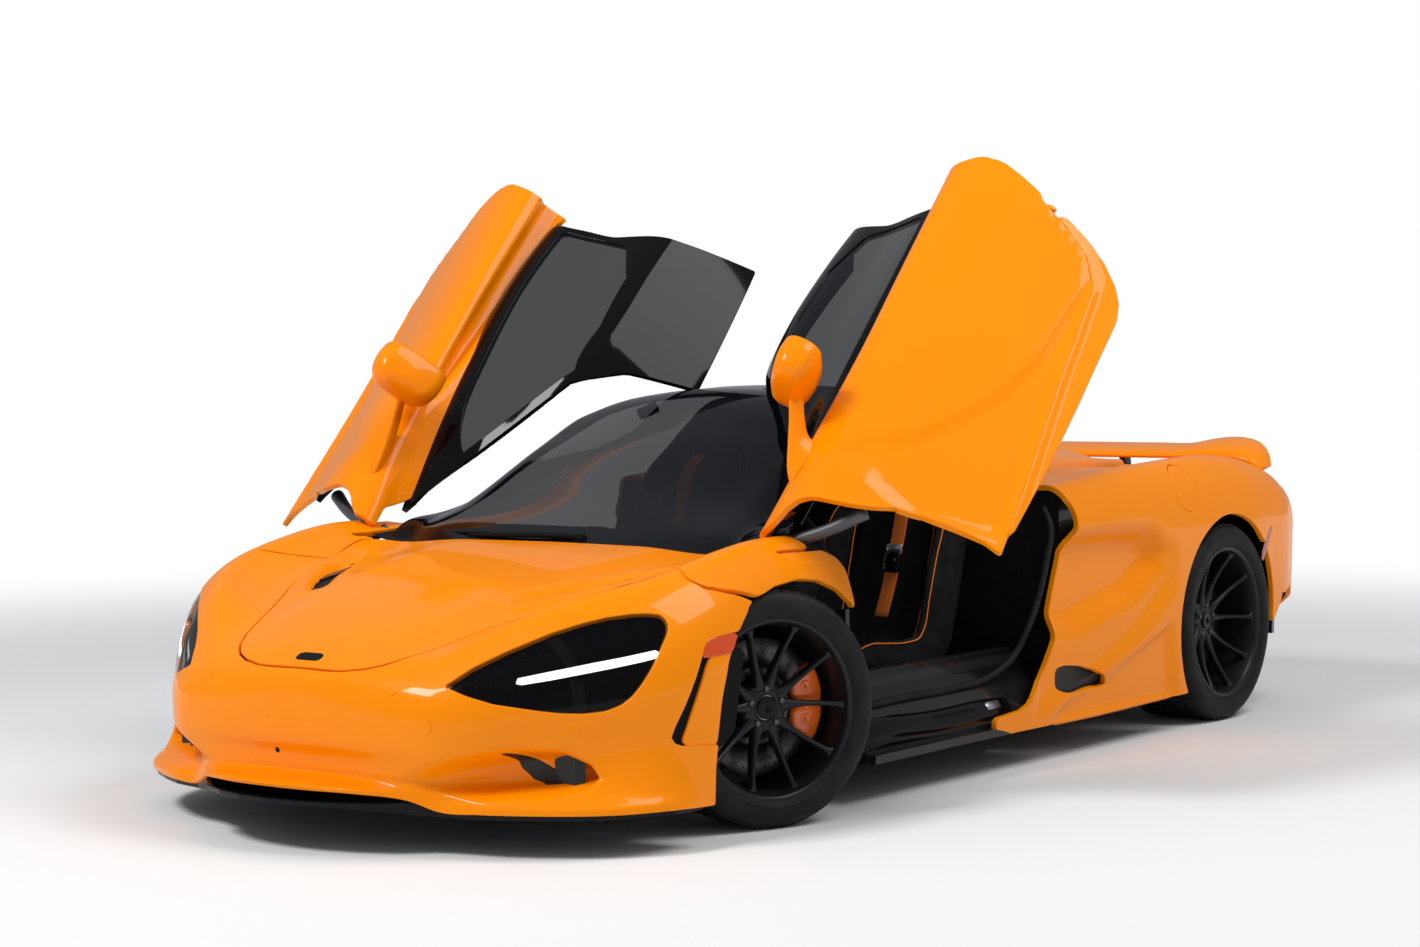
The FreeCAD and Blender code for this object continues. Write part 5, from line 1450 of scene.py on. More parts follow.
def make_rear_panels():
    """Quarters, fuel cover, deck and rear bumper."""
    g = half_gap()
    whole_deck = mirrored_outline(DECK)
    behind_wheel = outside(on_side(BEHIND_WHEEL, ARCH_X), g)
    quarter = every(left_half, outside(door_lower(0.0), g), outside(in_plan(DECK), g),
                    clear_of_canopy(0.002),
                    ROUND_REAR, beyond(1, TAIL_SEAM, -1.0), beyond(1, front(1100)), beyond(2, 0.122),
                    outside(on_side(LOW_INTAKE, FLANK_X), HEM_REACH),
                    outside(on_side(TAIL_MARKER, FLANK_X), HEM_REACH), behind_wheel)
    with_cap = every(quarter, outside(near_cap(0.0), HEM_REACH + 0.0005))
    panel("quarter_skin", FLANK, with_cap, node="rear_quarters")
    plain = hemmed(*clipped(FLANK.points, FLANK.faces, quarter(FLANK.points)))
    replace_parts(piece("quarter_skin_right", flipped(*plain), "paint"), "rear_quarters")
    panel("fuel_cover", FLANK, every(left_half, near_cap(HEM_REACH)))
    intake = every(left_half, on_side(LOW_INTAKE, FLANK_X, -0.014))
    pair("low_intake", patch(FLANK, intake, 0.030), "screen")
    marker = every(left_half, on_side(TAIL_MARKER, FLANK_X, 0.002))
    pair("tail_marker", patch(FLANK, marker, 0.001, HEM[:4]), "red_lens")
    # Matt black sheets just under the deck's slots: painted shade of the bay below them
    ducts = every(beyond(2, 0.7), lambda p: deck_slot(p) - 0.010)
    piece("deck_ducts", patch(FLANK, ducts, 0.016), "matt")
    deck = every(in_plan(whole_deck, g), clear_of_canopy(0.002), beyond(2, 0.7),
                 outside(deck_slot, HEM_REACH))
    panel("deck_skin", FLANK, deck, node="engine_deck")
    tail = every(beyond(1, TAIL_SEAM + 0.003), outside(in_plan(whole_deck), g), ROUND_REAR,
                 outside(in_front(TAIL_OPENING), g), outside(in_front(TAIL_UNDERCUT), g), behind_wheel)
    panel("tail_skin", BODY, tail, node="rear_bumper")


class SUPERCAR_OT_rear_panels(bpy.types.Operator):
    """Makes the quarters, engine deck and rear bumper"""
    bl_idname = "supercar.rear_panels"
    bl_label = "Rear panels"

    def execute(self, context):
        make_rear_panels()
        return {"FINISHED"}


def turned_in(shape):
    """The same shape with its faces turned to the car's inside."""
    points, faces = shape
    return points, [tuple(reversed(face)) for face in faces]


DOOR_BODIES = ("door_left", "door_right")
ARMREST = [(-0.62, 0.40), (-0.50, 0.47), (0.02, 0.50), (0.14, 0.46), (0.10, 0.39), (-0.10, 0.36),
           (-0.50, 0.36)]


def door_pair(name, shape, finish):
    """A piece of both doors, carried from shut to the raised rest position."""
    points, faces = shape
    return pair(name, (door_opened(points), faces), finish, DOOR_BODIES)


def replace_sides(pieces, node):
    """Lets a left and a right piece stand for the left and the right node."""
    for made, (side, _) in zip(pieces, SIDES):
        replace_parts(made, node + side)


def make_doors():
    """Raised doors: painted skins, black upper frames, side glass, trimmed inner faces and mirrors."""
    lower = every(left_half, door_lower(-HEM_REACH), clear_of_canopy(0.001))
    above_band = every(lower, outside(in_side(DOOR_BAND), 0.0050))
    skins = panel("door_skin", DOOR_FORM, above_band, DOOR_BODIES, place=door_opened)
    band = every(lower, in_side(DOOR_BAND, 0.0015))
    panel("door_band", DOOR_FORM, band, DOOR_BODIES, place=door_opened)
    window = every(in_side(SIDE_WINDOW), in_plan(DOOR_PLAN, 0.034))
    upper = every(in_plan(DOOR_PLAN, half_gap()), outside(window, HEM_REACH), left_half)
    panel("door_frame", CANOPY, upper, DOOR_BODIES, finish="gloss_black", place=door_opened)
    pane = every(in_plan(DOOR_PLAN, 0.024), in_side(SIDE_WINDOW, -0.010), left_half)
    replace_sides(door_pair("door_pane", patch(CANOPY, pane, 0.0045), "glass"), "door_glass_")
    replace_sides(skins, "door_")
    make_door_linings(lower, upper)
    make_door_hinges()
    make_mirrors()


def make_door_linings(lower, upper):
    """Flange, inner card, armrest and headlining of both doors."""
    flange = patch(DOOR_FORM, every(lower, door_lower(-0.012)), 0.014)
    door_pair("door_flange", turned_in(flange), "matt")
    trim = every(left_half, door_lower(-0.085), clear_of_canopy(0.030), beyond(0, 0.70))
    door_pair("door_card", turned_in(patch(BODY, trim, 0.045, HEM)), "suede")
    door_pair("door_armrest", slab(ARMREST, 0.815, 0.872, axis=0, bevel=0.012), "leather")
    lining = patch(CANOPY, every(upper, in_plan(DOOR_PLAN, 0.012)), 0.015)
    door_pair("door_headlining", turned_in(lining), "suede")


def make_door_hinges():
    """Hinge arms, each with two pins on its door's turning line."""
    axis = np.array((HINGE_UP - HINGE_LOW).normalized())
    low, high = np.array(HINGE_LOW), np.array(HINGE_UP)
    path = [low, (0.800, -0.985, 0.690), (0.850, -0.930, 0.610), (0.895, -0.860, 0.540)]
    arm = tube(path, (0.020, 0.019, 0.018, 0.022), 12)
    pins = [tube([at - axis * 0.032, at + axis * 0.032], 0.019, 20, 0) for at in (low, high)]
    door_pair("door_hinge", joined(arm, *pins), "dark_metal")


MIRROR_ROWS = (
    # y, x and z of the middle, width, height of the mirror housing from its front to its glass
    (-0.652, 0.952, 0.912, 0.084, 0.040),
    (-0.646, 0.951, 0.912, 0.140, 0.066),
    (-0.628, 0.950, 0.913, 0.192, 0.094),
    (-0.594, 0.948, 0.914, 0.222, 0.112),
    (-0.554, 0.946, 0.915, 0.230, 0.118),
    (-0.524, 0.944, 0.916, 0.224, 0.114),
)
STALK_ROWS = (
    # x, y, z of the middle, width across and length of the stalk from the door up
    (0.862, -0.790, 0.766, 0.050, 0.170),
    (0.872, -0.772, 0.796, 0.034, 0.138),
    (0.892, -0.716, 0.834, 0.026, 0.106),
    (0.914, -0.656, 0.866, 0.026, 0.092),
    (0.930, -0.610, 0.892, 0.034, 0.090),
)


def make_mirrors():
    """Housings on flat stalks, with their glasses to the rear."""
    rings = [ring_of((x, y, z), (1, 0, 0), (0, 0, 1), rounded(wide, high, 0.42, 5))
             for y, x, z, wide, high in MIRROR_ROWS]
    replace_sides(door_pair("mirror_shell", lofted(rings, 4, 3), "paint"), "mirror_")
    lip = [ring_of((0.944, y, 0.916), (1, 0, 0), (0, 0, 1), rounded(0.210 * share, 0.102 * share, 0.48, 8))
           for y, share in ((-0.526, 1.0), (-0.521, 1.0), (-0.519, 0.96), (-0.5205, 0.93), (-0.5205, 0.02))]
    door_pair("mirror_glass", lofted(lip, 0, 0), "mirror")
    turn = [2 * math.pi * k / 12 for k in range(12)]
    blade = [[(x + wide / 2 * math.cos(a), y + deep / 2 * math.sin(a), z) for a in turn]
             for x, y, z, wide, deep in STALK_ROWS]
    door_pair("mirror_stalk", lofted(blade, 4, 2), "paint")


class SUPERCAR_OT_doors(bpy.types.Operator):
    """Makes both raised doors"""
    bl_idname = "supercar.doors"
    bl_label = "Doors"

    def execute(self, context):
        make_doors()
        return {"FINISHED"}


REAR_WINDOW = [(-0.330, rear(-870)), (0.330, rear(-870)), (0.262, rear(-330)), (0.215, rear(60)),
               (-0.215, rear(60)), (-0.262, rear(-330))]


def make_canopy():
    """Windscreen, black pillars and roof, and the painted rear roof."""
    panel("screen_pane", CANOPY, in_plan(WINDSCREEN, -0.002), node="windscreen", finish="glass")
    both_doors = either(in_plan(DOOR_PLAN), in_plan([(-x, y) for x, y in DOOR_PLAN]))
    ring = every(outside(both_doors, half_gap()), outside(in_plan(WINDSCREEN), 0.001),
                 beyond(1, front(1632), -1.0))
    panel("roof_skin", CANOPY, ring, node="roof_frame", finish="gloss_black")
    hood = every(beyond(1, front(1635)), outside(in_plan(REAR_WINDOW), 0.001))
    panel("rear_roof_skin", CANOPY, hood, node="rear_canopy")
    panel("engine_pane", CANOPY, in_plan(REAR_WINDOW, 0.001), node="engine_cover", finish="glass")


def make_cowl():
    """Black scuttle under the windscreen's foot, with the wiper."""
    scuttle = every(folded_plan(COWL_HALF, 0.004), beyond(1, -1.074), beyond(1, front(260), -1.0))
    piece("scuttle", patch(BODY, scuttle, 0.006, HEM[:4]), "trim")
    arm = [(-0.350, -1.052, 0.752), (-0.200, -1.066, 0.758), (-0.060, -1.060, 0.762),
           (0.075, -1.034, 0.758)]
    piece("wiper_arm", tube(arm, (0.006, 0.007, 0.008, 0.011), 8), "matt")
    blade = [(-0.500, -1.006, 0.757), (-0.330, -1.034, 0.762), (-0.150, -1.046, 0.764),
             (0.020, -1.042, 0.762)]
    piece("wiper_blade", tube(blade, (0.003, 0.006, 0.006, 0.003), 6), "rubber")
    piece("wiper_spindle", tube([(0.075, -1.034, 0.738), (0.075, -1.036, 0.768)], 0.016, 16, 0), "matt")


class SUPERCAR_OT_canopy(bpy.types.Operator):
    """Makes the windscreen, roof and rear roof"""
    bl_idname = "supercar.canopy"
    bl_label = "Canopy"

    def execute(self, context):
        make_canopy()
        make_cowl()
        return {"FINISHED"}


# Pieces repeated by a node tree


def repeat_tree():
    """Node tree that repeats a piece with an equal step and turn from each copy to the next."""
    tree = bpy.data.node_groups.new("repeat", "GeometryNodeTree")
    kinds = (("Piece", "NodeSocketObject"), ("Count", "NodeSocketInt"), ("Step", "NodeSocketVector"),
             ("Turn", "NodeSocketVector"), ("Finish", "NodeSocketMaterial"))
    for label, kind in kinds:
        tree.interface.new_socket(label, in_out="INPUT", socket_type=kind)
    tree.interface.new_socket("Geometry", in_out="OUTPUT", socket_type="NodeSocketGeometry")
    add = tree.nodes.new
    link = tree.links.new
    given = add("NodeGroupInput").outputs
    places = add("GeometryNodeMeshLine")
    link(given["Count"], places.inputs["Count"])
    link(given["Step"], places.inputs["Offset"])
    source = add("GeometryNodeObjectInfo")
    link(given["Piece"], source.inputs["Object"])
    turn = add("ShaderNodeVectorMath")
    turn.operation = "SCALE"
    link(given["Turn"], turn.inputs[0])
    link(add("GeometryNodeInputIndex").outputs[0], turn.inputs["Scale"])
    copies = add("GeometryNodeInstanceOnPoints")
    link(places.outputs["Mesh"], copies.inputs["Points"])
    link(source.outputs["Geometry"], copies.inputs["Instance"])
    link(turn.outputs[0], copies.inputs["Rotation"])
    real = add("GeometryNodeRealizeInstances")
    link(copies.outputs[0], real.inputs[0])
    finish = add("GeometryNodeSetMaterial")
    link(real.outputs[0], finish.inputs["Geometry"])
    link(given["Finish"], finish.inputs["Material"])
    link(finish.outputs[0], add("NodeGroupOutput").inputs[0])
    return tree


def repeated(shape, count, step=(0.0, 0.0, 0.0), turn=(0.0, 0.0, 0.0)):
    """Points and faces of a row or ring of copies."""
    tree = bpy.data.node_groups.get("repeat") or repeat_tree()
    source = mesh_object("repeat_piece", *shape, FINISHES["matt"])
    carrier = mesh_object("repeat_carrier", [(0.0, 0.0, 0.0)], [], FINISHES["matt"])
    modifier = carrier.modifiers.new("repeat", "NODES")
    modifier.node_group = tree
    names = {item.name: item.identifier for item in tree.interface.items_tree if item.in_out == "INPUT"}
    modifier[names["Piece"]] = source
    modifier[names["Count"]] = count
    modifier[names["Step"]] = step
    modifier[names["Turn"]] = [math.radians(v) for v in turn]
    modifier[names["Finish"]] = FINISHES["matt"]
    carrier.update_tag()
    bpy.context.view_layer.update()
    mesh = bpy.data.meshes.new_from_object(carrier.evaluated_get(bpy.context.evaluated_depsgraph_get()))
    points = np.array([vertex.co for vertex in mesh.vertices])
    faces = [tuple(polygon.vertices) for polygon in mesh.polygons]
    carrier.modifiers.remove(modifier)
    for spent in (carrier, source):
        bpy.data.objects.remove(spent)
    bpy.data.meshes.remove(mesh)
    if len(faces) != count * len(shape[1]):
        raise RuntimeError("the repeating tree lost copies")
    return points, faces


# Wheels: end, axle place, tyre radius, tyre width, rim radius
CORNERS = (
    ("front", (0.840, FRONT_AXLE_Y, FRONT_WHEEL_Z), 0.327, 0.245, 0.252),
    ("rear", (0.8145, REAR_AXLE_Y, REAR_WHEEL_Z), 0.3455, 0.295, 0.264),
)
RIB_EDGES = (-0.098, -0.062, -0.054, -0.020, -0.012, 0.012, 0.020, 0.054, 0.062, 0.098)
GROOVE = 0.007


def corner_pair(name, shape, end, at, finish, bodies, smooth=True):
    """A wheel's piece on both sides of an axle; both front ones are turned the same way."""
    left = placed(shape, at)
    made = []
    for (side, sign), (points, faces), body in zip(SIDES, (left, flipped(*left)), bodies):
        points = steered(points, sign) if end == "front" else points
        made.append(piece(f"{name}_{end}_{side}", (points, faces), finish, body, smooth))
    return made


def tyre_shape(radius, width, rim):
    """Carcass down to the groove floor, with round shoulders and a raised bead line."""
    w = width / 2
    half = [(w - 0.045, radius - GROOVE), (w - 0.036, radius - 0.0050), (w - 0.024, radius - 0.0065),
            (w - 0.011, radius - 0.0125), (w - 0.004, radius - 0.022), (w - 0.0008, radius - 0.034),
            (w, (radius + rim) / 2 - 0.002), (w - 0.002, rim + 0.020), (w - 0.0035, rim + 0.0165),
            (w - 0.0018, rim + 0.0145), (w - 0.0038, rim + 0.0120), (w - 0.008, rim + 0.006),
            (w - 0.012, rim - 0.001), (w - 0.020, rim - 0.006)]
    profile = [(-x, r) for x, r in half] + [(x, r) for x, r in reversed(half)]
    return revolved(list(reversed(profile)), 144)


def tread_pitch_shape(radius, width, pitch):
    """One pitch of the tread: blocks with slanted ends across the crown."""
    scale = (width / 2 - 0.024) / 0.098
    blocks = []
    for k in range(0, len(RIB_EDGES), 2):
        low, high = RIB_EDGES[k] * scale, RIB_EDGES[k + 1] * scale
        lean = 0.010 if k in (0, 8) else 0.005
        start = 0.3 * lean * (k % 4)
        rings = []
        for lift, inset in ((-0.004, 0.0), (GROOVE - 0.0012, 0.0), (GROOVE - 0.0002, 0.0011)):
            if k in (0, 8):
                lift -= 0.0012
            near, far = start + inset, start + pitch - 0.0045 - inset
            a, b = low + inset, high - inset
            skew = lean * (1 if low < 0 else -1)
            rings.append([(a, near, radius - GROOVE + lift), (b, near + skew, radius - GROOVE + lift),
                          (b, far + skew, radius - GROOVE + lift), (a, far, radius - GROOVE + lift)])
        blocks.append(lofted(rings, 0, 0))
    points, faces = joined(*blocks)
    along = points[:, 1] / radius
    return np.stack([points[:, 0], points[:, 2] * np.sin(along), points[:, 2] * np.cos(along)],
                    axis=1), faces


def rim_shape(radius, width):
    """Barrel with rolled lips."""
    h = width / 2 - 0.012
    profile = [(-h, radius - 0.024), (-h, radius - 0.003), (-h + 0.004, radius),
               (-h + 0.009, radius - 0.002), (-h + 0.014, radius - 0.013), (h - 0.016, radius - 0.013),
               (h - 0.010, radius - 0.003), (h - 0.006, radius + 0.001), (h - 0.001, radius + 0.0005),
               (h + 0.0005, radius - 0.004), (h - 0.001, radius - 0.010), (h - 0.006, radius - 0.0145),
               (h - 0.012, radius - 0.016), (h - 0.026, radius - 0.021), (h - 0.050, radius - 0.024)]
    return revolved(profile, 128)


# Share of the reach, width and thickness of a spoke; the outline of its section
SPOKE_ROWS = ((0.0, 0.044, 0.030), (0.14, 0.030, 0.030), (0.34, 0.0190, 0.029), (0.60, 0.0150, 0.026),
              (0.84, 0.0155, 0.024), (0.95, 0.020, 0.022), (1.0, 0.032, 0.018))
SPOKE_SECTION = [(-0.5, -0.5), (-0.5, 0.18), (-0.30, 0.42), (0.0, 0.5), (0.30, 0.42), (0.5, 0.18),
                 (0.5, -0.5), (0.0, -0.5)]


def spoke_shape(radius, width, hub_angle, rim_angle):
    """Slender spoke, sunk at the hub and swept out to the lip."""
    h = width / 2 - 0.012
    reach = radius - 0.020
    rings = []
    for share, wide, thick in SPOKE_ROWS:
        turn = math.radians(hub_angle + (rim_angle - hub_angle) * share ** 0.75)
        out = np.array((0.0, math.sin(turn), math.cos(turn)))
        side = np.array((0.0, math.cos(turn), -math.sin(turn)))
        x = 0.041 + (h - 0.024 - 0.041) * share ** 1.9
        middle = np.array((x, 0.0, 0.0)) + out * (0.050 + share * (reach - 0.050))
        rings.append([middle + side * wide * a + np.array((thick * b, 0.0, 0.0)) for a, b in SPOKE_SECTION])
    return lofted(rings, 6, 0)


# Angle along the disc, inner radius, outer radius and width of the caliper
CALIPER_ROWS = ((-33, 0.150, 0.196, 0.050), (-31, 0.128, 0.208, 0.068), (-20, 0.116, 0.213, 0.074),
                (-8, 0.114, 0.213, 0.076), (-3, 0.124, 0.211, 0.073), (3, 0.124, 0.211, 0.073),
                (8, 0.114, 0.213, 0.076), (20, 0.116, 0.213, 0.074), (31, 0.128, 0.208, 0.068),
                (33, 0.150, 0.196, 0.050))
PISTON_CAP = [(0.018, 0.0002), (0.018, 0.017), (0.0245, 0.0165), (0.0262, 0.014), (0.0250, 0.010),
              (0.0250, 0.0002)]


def caliper_shape(sign):
    """Curved caliper body over the disc, with piston caps."""
    rings = []
    for degrees, low, high, wide in CALIPER_ROWS:
        a = math.radians(degrees)
        out = np.array((0.0, sign * math.cos(a), math.sin(a)))
        rings.append(ring_of(np.array((-0.014, 0.0, 0.0)) + out * (low + high) / 2, (1, 0, 0), out,
                             rounded(wide, high - low, 0.22, 4)))
    caps = []
    for degrees in (-17, 0, 17):
        a = math.radians(degrees)
        centre = (0.0, sign * 0.158 * math.cos(a), 0.158 * math.sin(a))
        caps.append(placed(revolved(PISTON_CAP, 28), centre))
    return joined(lofted(rings, 4, 0), *caps)


def disc_shape():
    """Vented disc: two faces, vanes between them, and the bell."""
    face = [(0.0, 0.112), (0.0, 0.189), (0.001, 0.190), (0.010, 0.190), (0.011, 0.189), (0.011, 0.112)]
    plates = [revolved([(x + across, r) for across, r in face], 96) for x in (-0.022, -0.003)]
    bell = revolved([(-0.022, 0.070), (-0.022, 0.114), (0.006, 0.114), (0.009, 0.100), (0.0095, 0.070)], 64)
    outline = [(-0.002, 0.116), (0.002, 0.116), (0.0045, 0.186), (0.0005, 0.186)]
    vane = slab(outline, -0.0115, -0.0025, axis=0, bevel=0.0004)
    return joined(*plates, bell, repeated(vane, 36, turn=(10.0, 0.0, 0.0)))


HUB_WEB = [(0.012, 0.0002), (0.012, 0.070), (0.040, 0.073), (0.0500, 0.062), (0.0530, 0.046),
           (0.0540, 0.037), (0.0500, 0.035), (0.0500, 0.0002)]
HUB_CAP = [(0.0505, 0.0002), (0.0505, 0.0325), (0.0575, 0.0325), (0.0600, 0.030), (0.0590, 0.026),
           (0.0605, 0.018), (0.0610, 0.0002)]
WHEEL_BOLT = [(0.050, 0.0002), (0.050, 0.0085), (0.0585, 0.0082), (0.0600, 0.006), (0.0590, 0.0002)]
BOLT_CIRCLE = 0.052
# A matt dot that stands for a hole in the disc, as painted shade, and the radii of its three rings
DISC_HOLE = [(0.0070, 0.0002), (0.0070, 0.0030), (0.0083, 0.0029), (0.0083, 0.0002)]
DISC_HOLE_RINGS = (0.128, 0.150, 0.172)


def star_shape(rim, width, spoke_pairs):
    """Spokes in pairs round the hub's web."""
    spokes = joined(*[spoke_shape(rim, width, sign * 14.0, sign * 19.0) for sign in (-1.0, 1.0)])
    return joined(repeated(spokes, spoke_pairs, turn=(360.0 / spoke_pairs, 0.0, 0.0)),
                  revolved(HUB_WEB, 64))


def drilled_shape():
    """Three rings of small matt black dots on the disc's face, painted shade where its holes would be, each
    ring turned on from the last.
    """
    hole = revolved(DISC_HOLE, 10)
    rings = [repeated(placed(hole, (0.0, 0.0, r)), 30, turn=(12.0, 0.0, 0.0)) for r in DISC_HOLE_RINGS]
    return joined(*[placed(ring, (0.0, 0.0, 0.0), 4.0 * k) for k, ring in enumerate(rings)])


def valve_shape(rim, width):
    """Short stem through the barrel."""
    path = [(0.0, 0.0, rim - 0.026), (0.012, 0.0, rim - 0.036), (0.026, 0.0, rim - 0.042)]
    return placed(tube(path, 0.0035, 8, 2), (width / 2 - 0.045, 0.0, 0.0), 36.0)


def make_wheels(settings):
    """Tyres with treads, spoked rims, discs with painted shade for their holes, and calipers at the four
    corners.
    """
    for end, at, radius, width, rim in CORNERS:
        bodies = [f"wheel_{end}_{side}" for side, _ in SIDES]
        count = round(2 * math.pi * radius / settings.tread_pitch)
        pitch = tread_pitch_shape(radius, width, 2 * math.pi * radius / count)
        tread = repeated(pitch, count, turn=(360.0 / count, 0.0, 0.0))
        bolts = repeated(placed(revolved(WHEEL_BOLT, 6), (0.0, 0.0, BOLT_CIRCLE)), 5, turn=(72.0, 0.0, 0.0))
        tyres = corner_pair("tyre_carcass", tyre_shape(radius, width, rim), end, at, "rubber", bodies)
        corner_pair("tread", tread, end, at, "rubber", bodies, smooth=False)
        rims = corner_pair("rim_barrel", rim_shape(rim, width), end, at, "graphite", bodies)
        corner_pair("spokes", star_shape(rim, width, settings.spoke_pairs), end, at, "graphite", bodies)
        corner_pair("hub_cap", revolved(HUB_CAP, 48), end, at, "gloss_black", bodies)
        corner_pair("wheel_bolts", bolts, end, at, "dark_metal", bodies, smooth=False)
        discs = corner_pair("vented_disc", disc_shape(), end, at, "disc", bodies)
        # Matt black dots on each disc: painted shade of its holes
        corner_pair("disc_holes", drilled_shape(), end, at, "matt", bodies)
        corner_pair("valve", valve_shape(rim, width), end, at, "rubber", bodies)
        holders = ["knuckle_left", "knuckle_right"] if end == "front" else ["root", "root"]
        sign = 1.0 if end == "front" else -1.0
        calipers = corner_pair("caliper_body", caliper_shape(sign), end, at, "caliper", holders)
        for (side, _), tyre, barrel, disc, caliper in zip(SIDES, tyres, rims, discs, calipers):
            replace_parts(tyre, f"tyre_{end}_{side}")
            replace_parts(barrel, f"rim_{end}_{side}")
            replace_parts(disc, f"brake_disc_{end}_{side}")
            if end == "front":
                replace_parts(caliper, f"brake_caliper_front_{side}")
        if end == "rear":
            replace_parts(calipers[0], "rear_calipers")


class SUPERCAR_OT_wheels(bpy.types.Operator):
    """Makes the tyres, rims, discs and calipers"""
    bl_idname = "supercar.wheels"
    bl_label = "Wheels"

    def execute(self, context):
        make_wheels(context.scene.supercar_wheels)
        return {"FINISHED"}


# Cabin


SEAT_ROWS = (
    # y, z, normal y, normal z, half width, thickness, bolster height
    (front(853), 0.318, -0.85, 0.53, 0.205, 0.045, 0.000),
    (front(872), 0.362, -0.40, 0.92, 0.225, 0.080, 0.016),
    (front(935), 0.366, -0.05, 1.00, 0.236, 0.100, 0.034),
    (front(1040), 0.350, 0.02, 1.00, 0.240, 0.105, 0.048),
    (front(1150), 0.338, 0.00, 1.00, 0.240, 0.105, 0.056),
    (front(1240), 0.345, -0.25, 0.97, 0.240, 0.105, 0.064),
    (front(1305), 0.392, -0.75, 0.66, 0.240, 0.110, 0.076),
    (front(1345), 0.475, -0.95, 0.31, 0.242, 0.100, 0.090),
    (front(1390), 0.620, -0.957, 0.29, 0.244, 0.092, 0.088),
    (front(1432), 0.760, -0.96, 0.28, 0.236, 0.086, 0.062),
    (front(1455), 0.835, -0.96, 0.27, 0.190, 0.082, 0.030),
    (front(1468), 0.900, -0.97, 0.24, 0.140, 0.076, 0.018),
    (front(1480), 0.965, -0.97, 0.24, 0.128, 0.066, 0.014),
    (front(1494), 1.000, -0.70, 0.71, 0.100, 0.044, 0.004),
)
SEAT_X = 0.370


SEAT_STEPS = (0.0, 0.40, 0.58, 0.62, 0.66, 0.74, 0.84, 0.94, 1.0)


def seat_shape():
    """Bucket seat: crowned cushion and back between raised bolsters, with long seams."""
    rings = []
    for y, z, ny, nz, half, thick, bolster in SEAT_ROWS:
        normal = np.array((0.0, ny, nz)) / math.hypot(ny, nz)
        across = []
        for u in [-step for step in SEAT_STEPS[:0:-1]] + list(SEAT_STEPS):
            bump = bolster * math.exp(-((abs(u) - 0.84) / 0.13) ** 2)
            crown = 0.012 * (1.0 - (u / 0.62) ** 2) if abs(u) < 0.62 else 0.0
            seam = 0.009 if abs(abs(u) - 0.62) < 0.01 else 0.0
            edge = 0.020 * max(0.0, abs(u) - 0.90) / 0.10
            across.append((u * half, bump + crown - seam - edge))
        for u, sink in ((0.97, 0.7), (0.8, 1.0), (0.0, 1.0), (-0.8, 1.0), (-0.97, 0.7)):
            across.append((u * half, -thick * sink))
        rings.append(ring_of((SEAT_X, y, z), (1, 0, 0), normal, across))
    return lofted(rings, 7, 3)


def seam_line(share):
    """Path along the seat at a share of its half width, just proud of the cover."""
    path = []
    for y, z, ny, nz, half, _, bolster in SEAT_ROWS[1:-1]:
        normal = np.array((0.0, ny, nz)) / math.hypot(ny, nz)
        bump = bolster * math.exp(-((abs(share) - 0.84) / 0.13) ** 2)
        path.append(np.array((SEAT_X + share * half, y, z)) + normal * (bump + 0.003))
    return path


def hoop(centre, right, up, radius, grip, flat):
    """Closed round bar, flattened at its foot."""
    normal = np.cross(right, up)
    rings = []
    for k in range(72):
        a = 2 * math.pi * k / 72
        out = np.array(right) * math.sin(a) + np.array(up) * math.cos(a)
        reach = radius * (1.0 - flat * max(0.0, -math.cos(a)) ** 4)
        middle = np.array(centre) + out * reach
        thick = grip * (1.12 if 50 < k * 5 < 110 or 250 < k * 5 < 310 else 1.0)
        rings.append([middle + (out * math.cos(t) + normal * math.sin(t)) * thick
                      for t in (2 * math.pi * j / 12 for j in range(12))])
    points = np.array(rings).reshape(-1, 3)
    faces = [tuple(i % len(points) for i in face) for face in skin_faces(73, 12, True)]
    return outwards(points, faces)


WHEEL_AT = np.array((0.370, -0.455, 0.700))
WHEEL_TILT = math.radians(24.0)
DASH = [(front(225), 0.655), (front(236), 0.715), (front(280), 0.752), (front(360), 0.768),
        (front(440), 0.766), (front(496), 0.742), (front(506), 0.712), (front(492), 0.668),
        (front(478), 0.610), (front(440), 0.566), (front(340), 0.575), (front(260), 0.600)]


# Height over the wheel's plane and size of the pad, outwards
PAD_ROWS = ((-0.046, 0.72), (-0.030, 0.98), (-0.012, 1.0), (-0.004, 0.92), (-0.001, 0.70), (-0.0005, 0.05))


def make_steering_wheel():
    """Suede-covered wheel with three flat spokes and a pad."""
    right = np.array((1.0, 0.0, 0.0))
    up = np.array((0.0, -math.sin(WHEEL_TILT), math.cos(WHEEL_TILT)))
    towards = np.array((0.0, math.cos(WHEEL_TILT), math.sin(WHEEL_TILT)))
    rim = piece("wheel_grip", hoop(WHEEL_AT, right, up, 0.172, 0.0155, 0.10), "suede", "steering_wheel")
    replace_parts(rim, "steering_wheel")
    arms = []
    for a in (90.0, 270.0, 180.0):
        out = right * math.sin(math.radians(a)) + up * math.cos(math.radians(a))
        side = np.cross(out, towards)
        rings = [ring_of(WHEEL_AT + out * reach - towards * sink, side, towards,
                         rounded(wide, thick, 0.4, 3))
                 for reach, wide, thick, sink in ((0.030, 0.052, 0.020, 0.024),
                                                  (0.075, 0.040, 0.013, 0.020),
                                                  (0.120, 0.026, 0.010, 0.010), (0.164, 0.030, 0.010, 0.0))]
        arms.append(lofted(rings, 4, 0))
    piece("wheel_arms", joined(*arms), "graphite", "steering_wheel")
    pad = [ring_of(WHEEL_AT + towards * lift, right, up, rounded(0.124 * s, 0.104 * s, 0.40, 6))
           for lift, s in PAD_ROWS]
    piece("wheel_pad", lofted(pad, 0, 0), "leather", "steering_wheel")


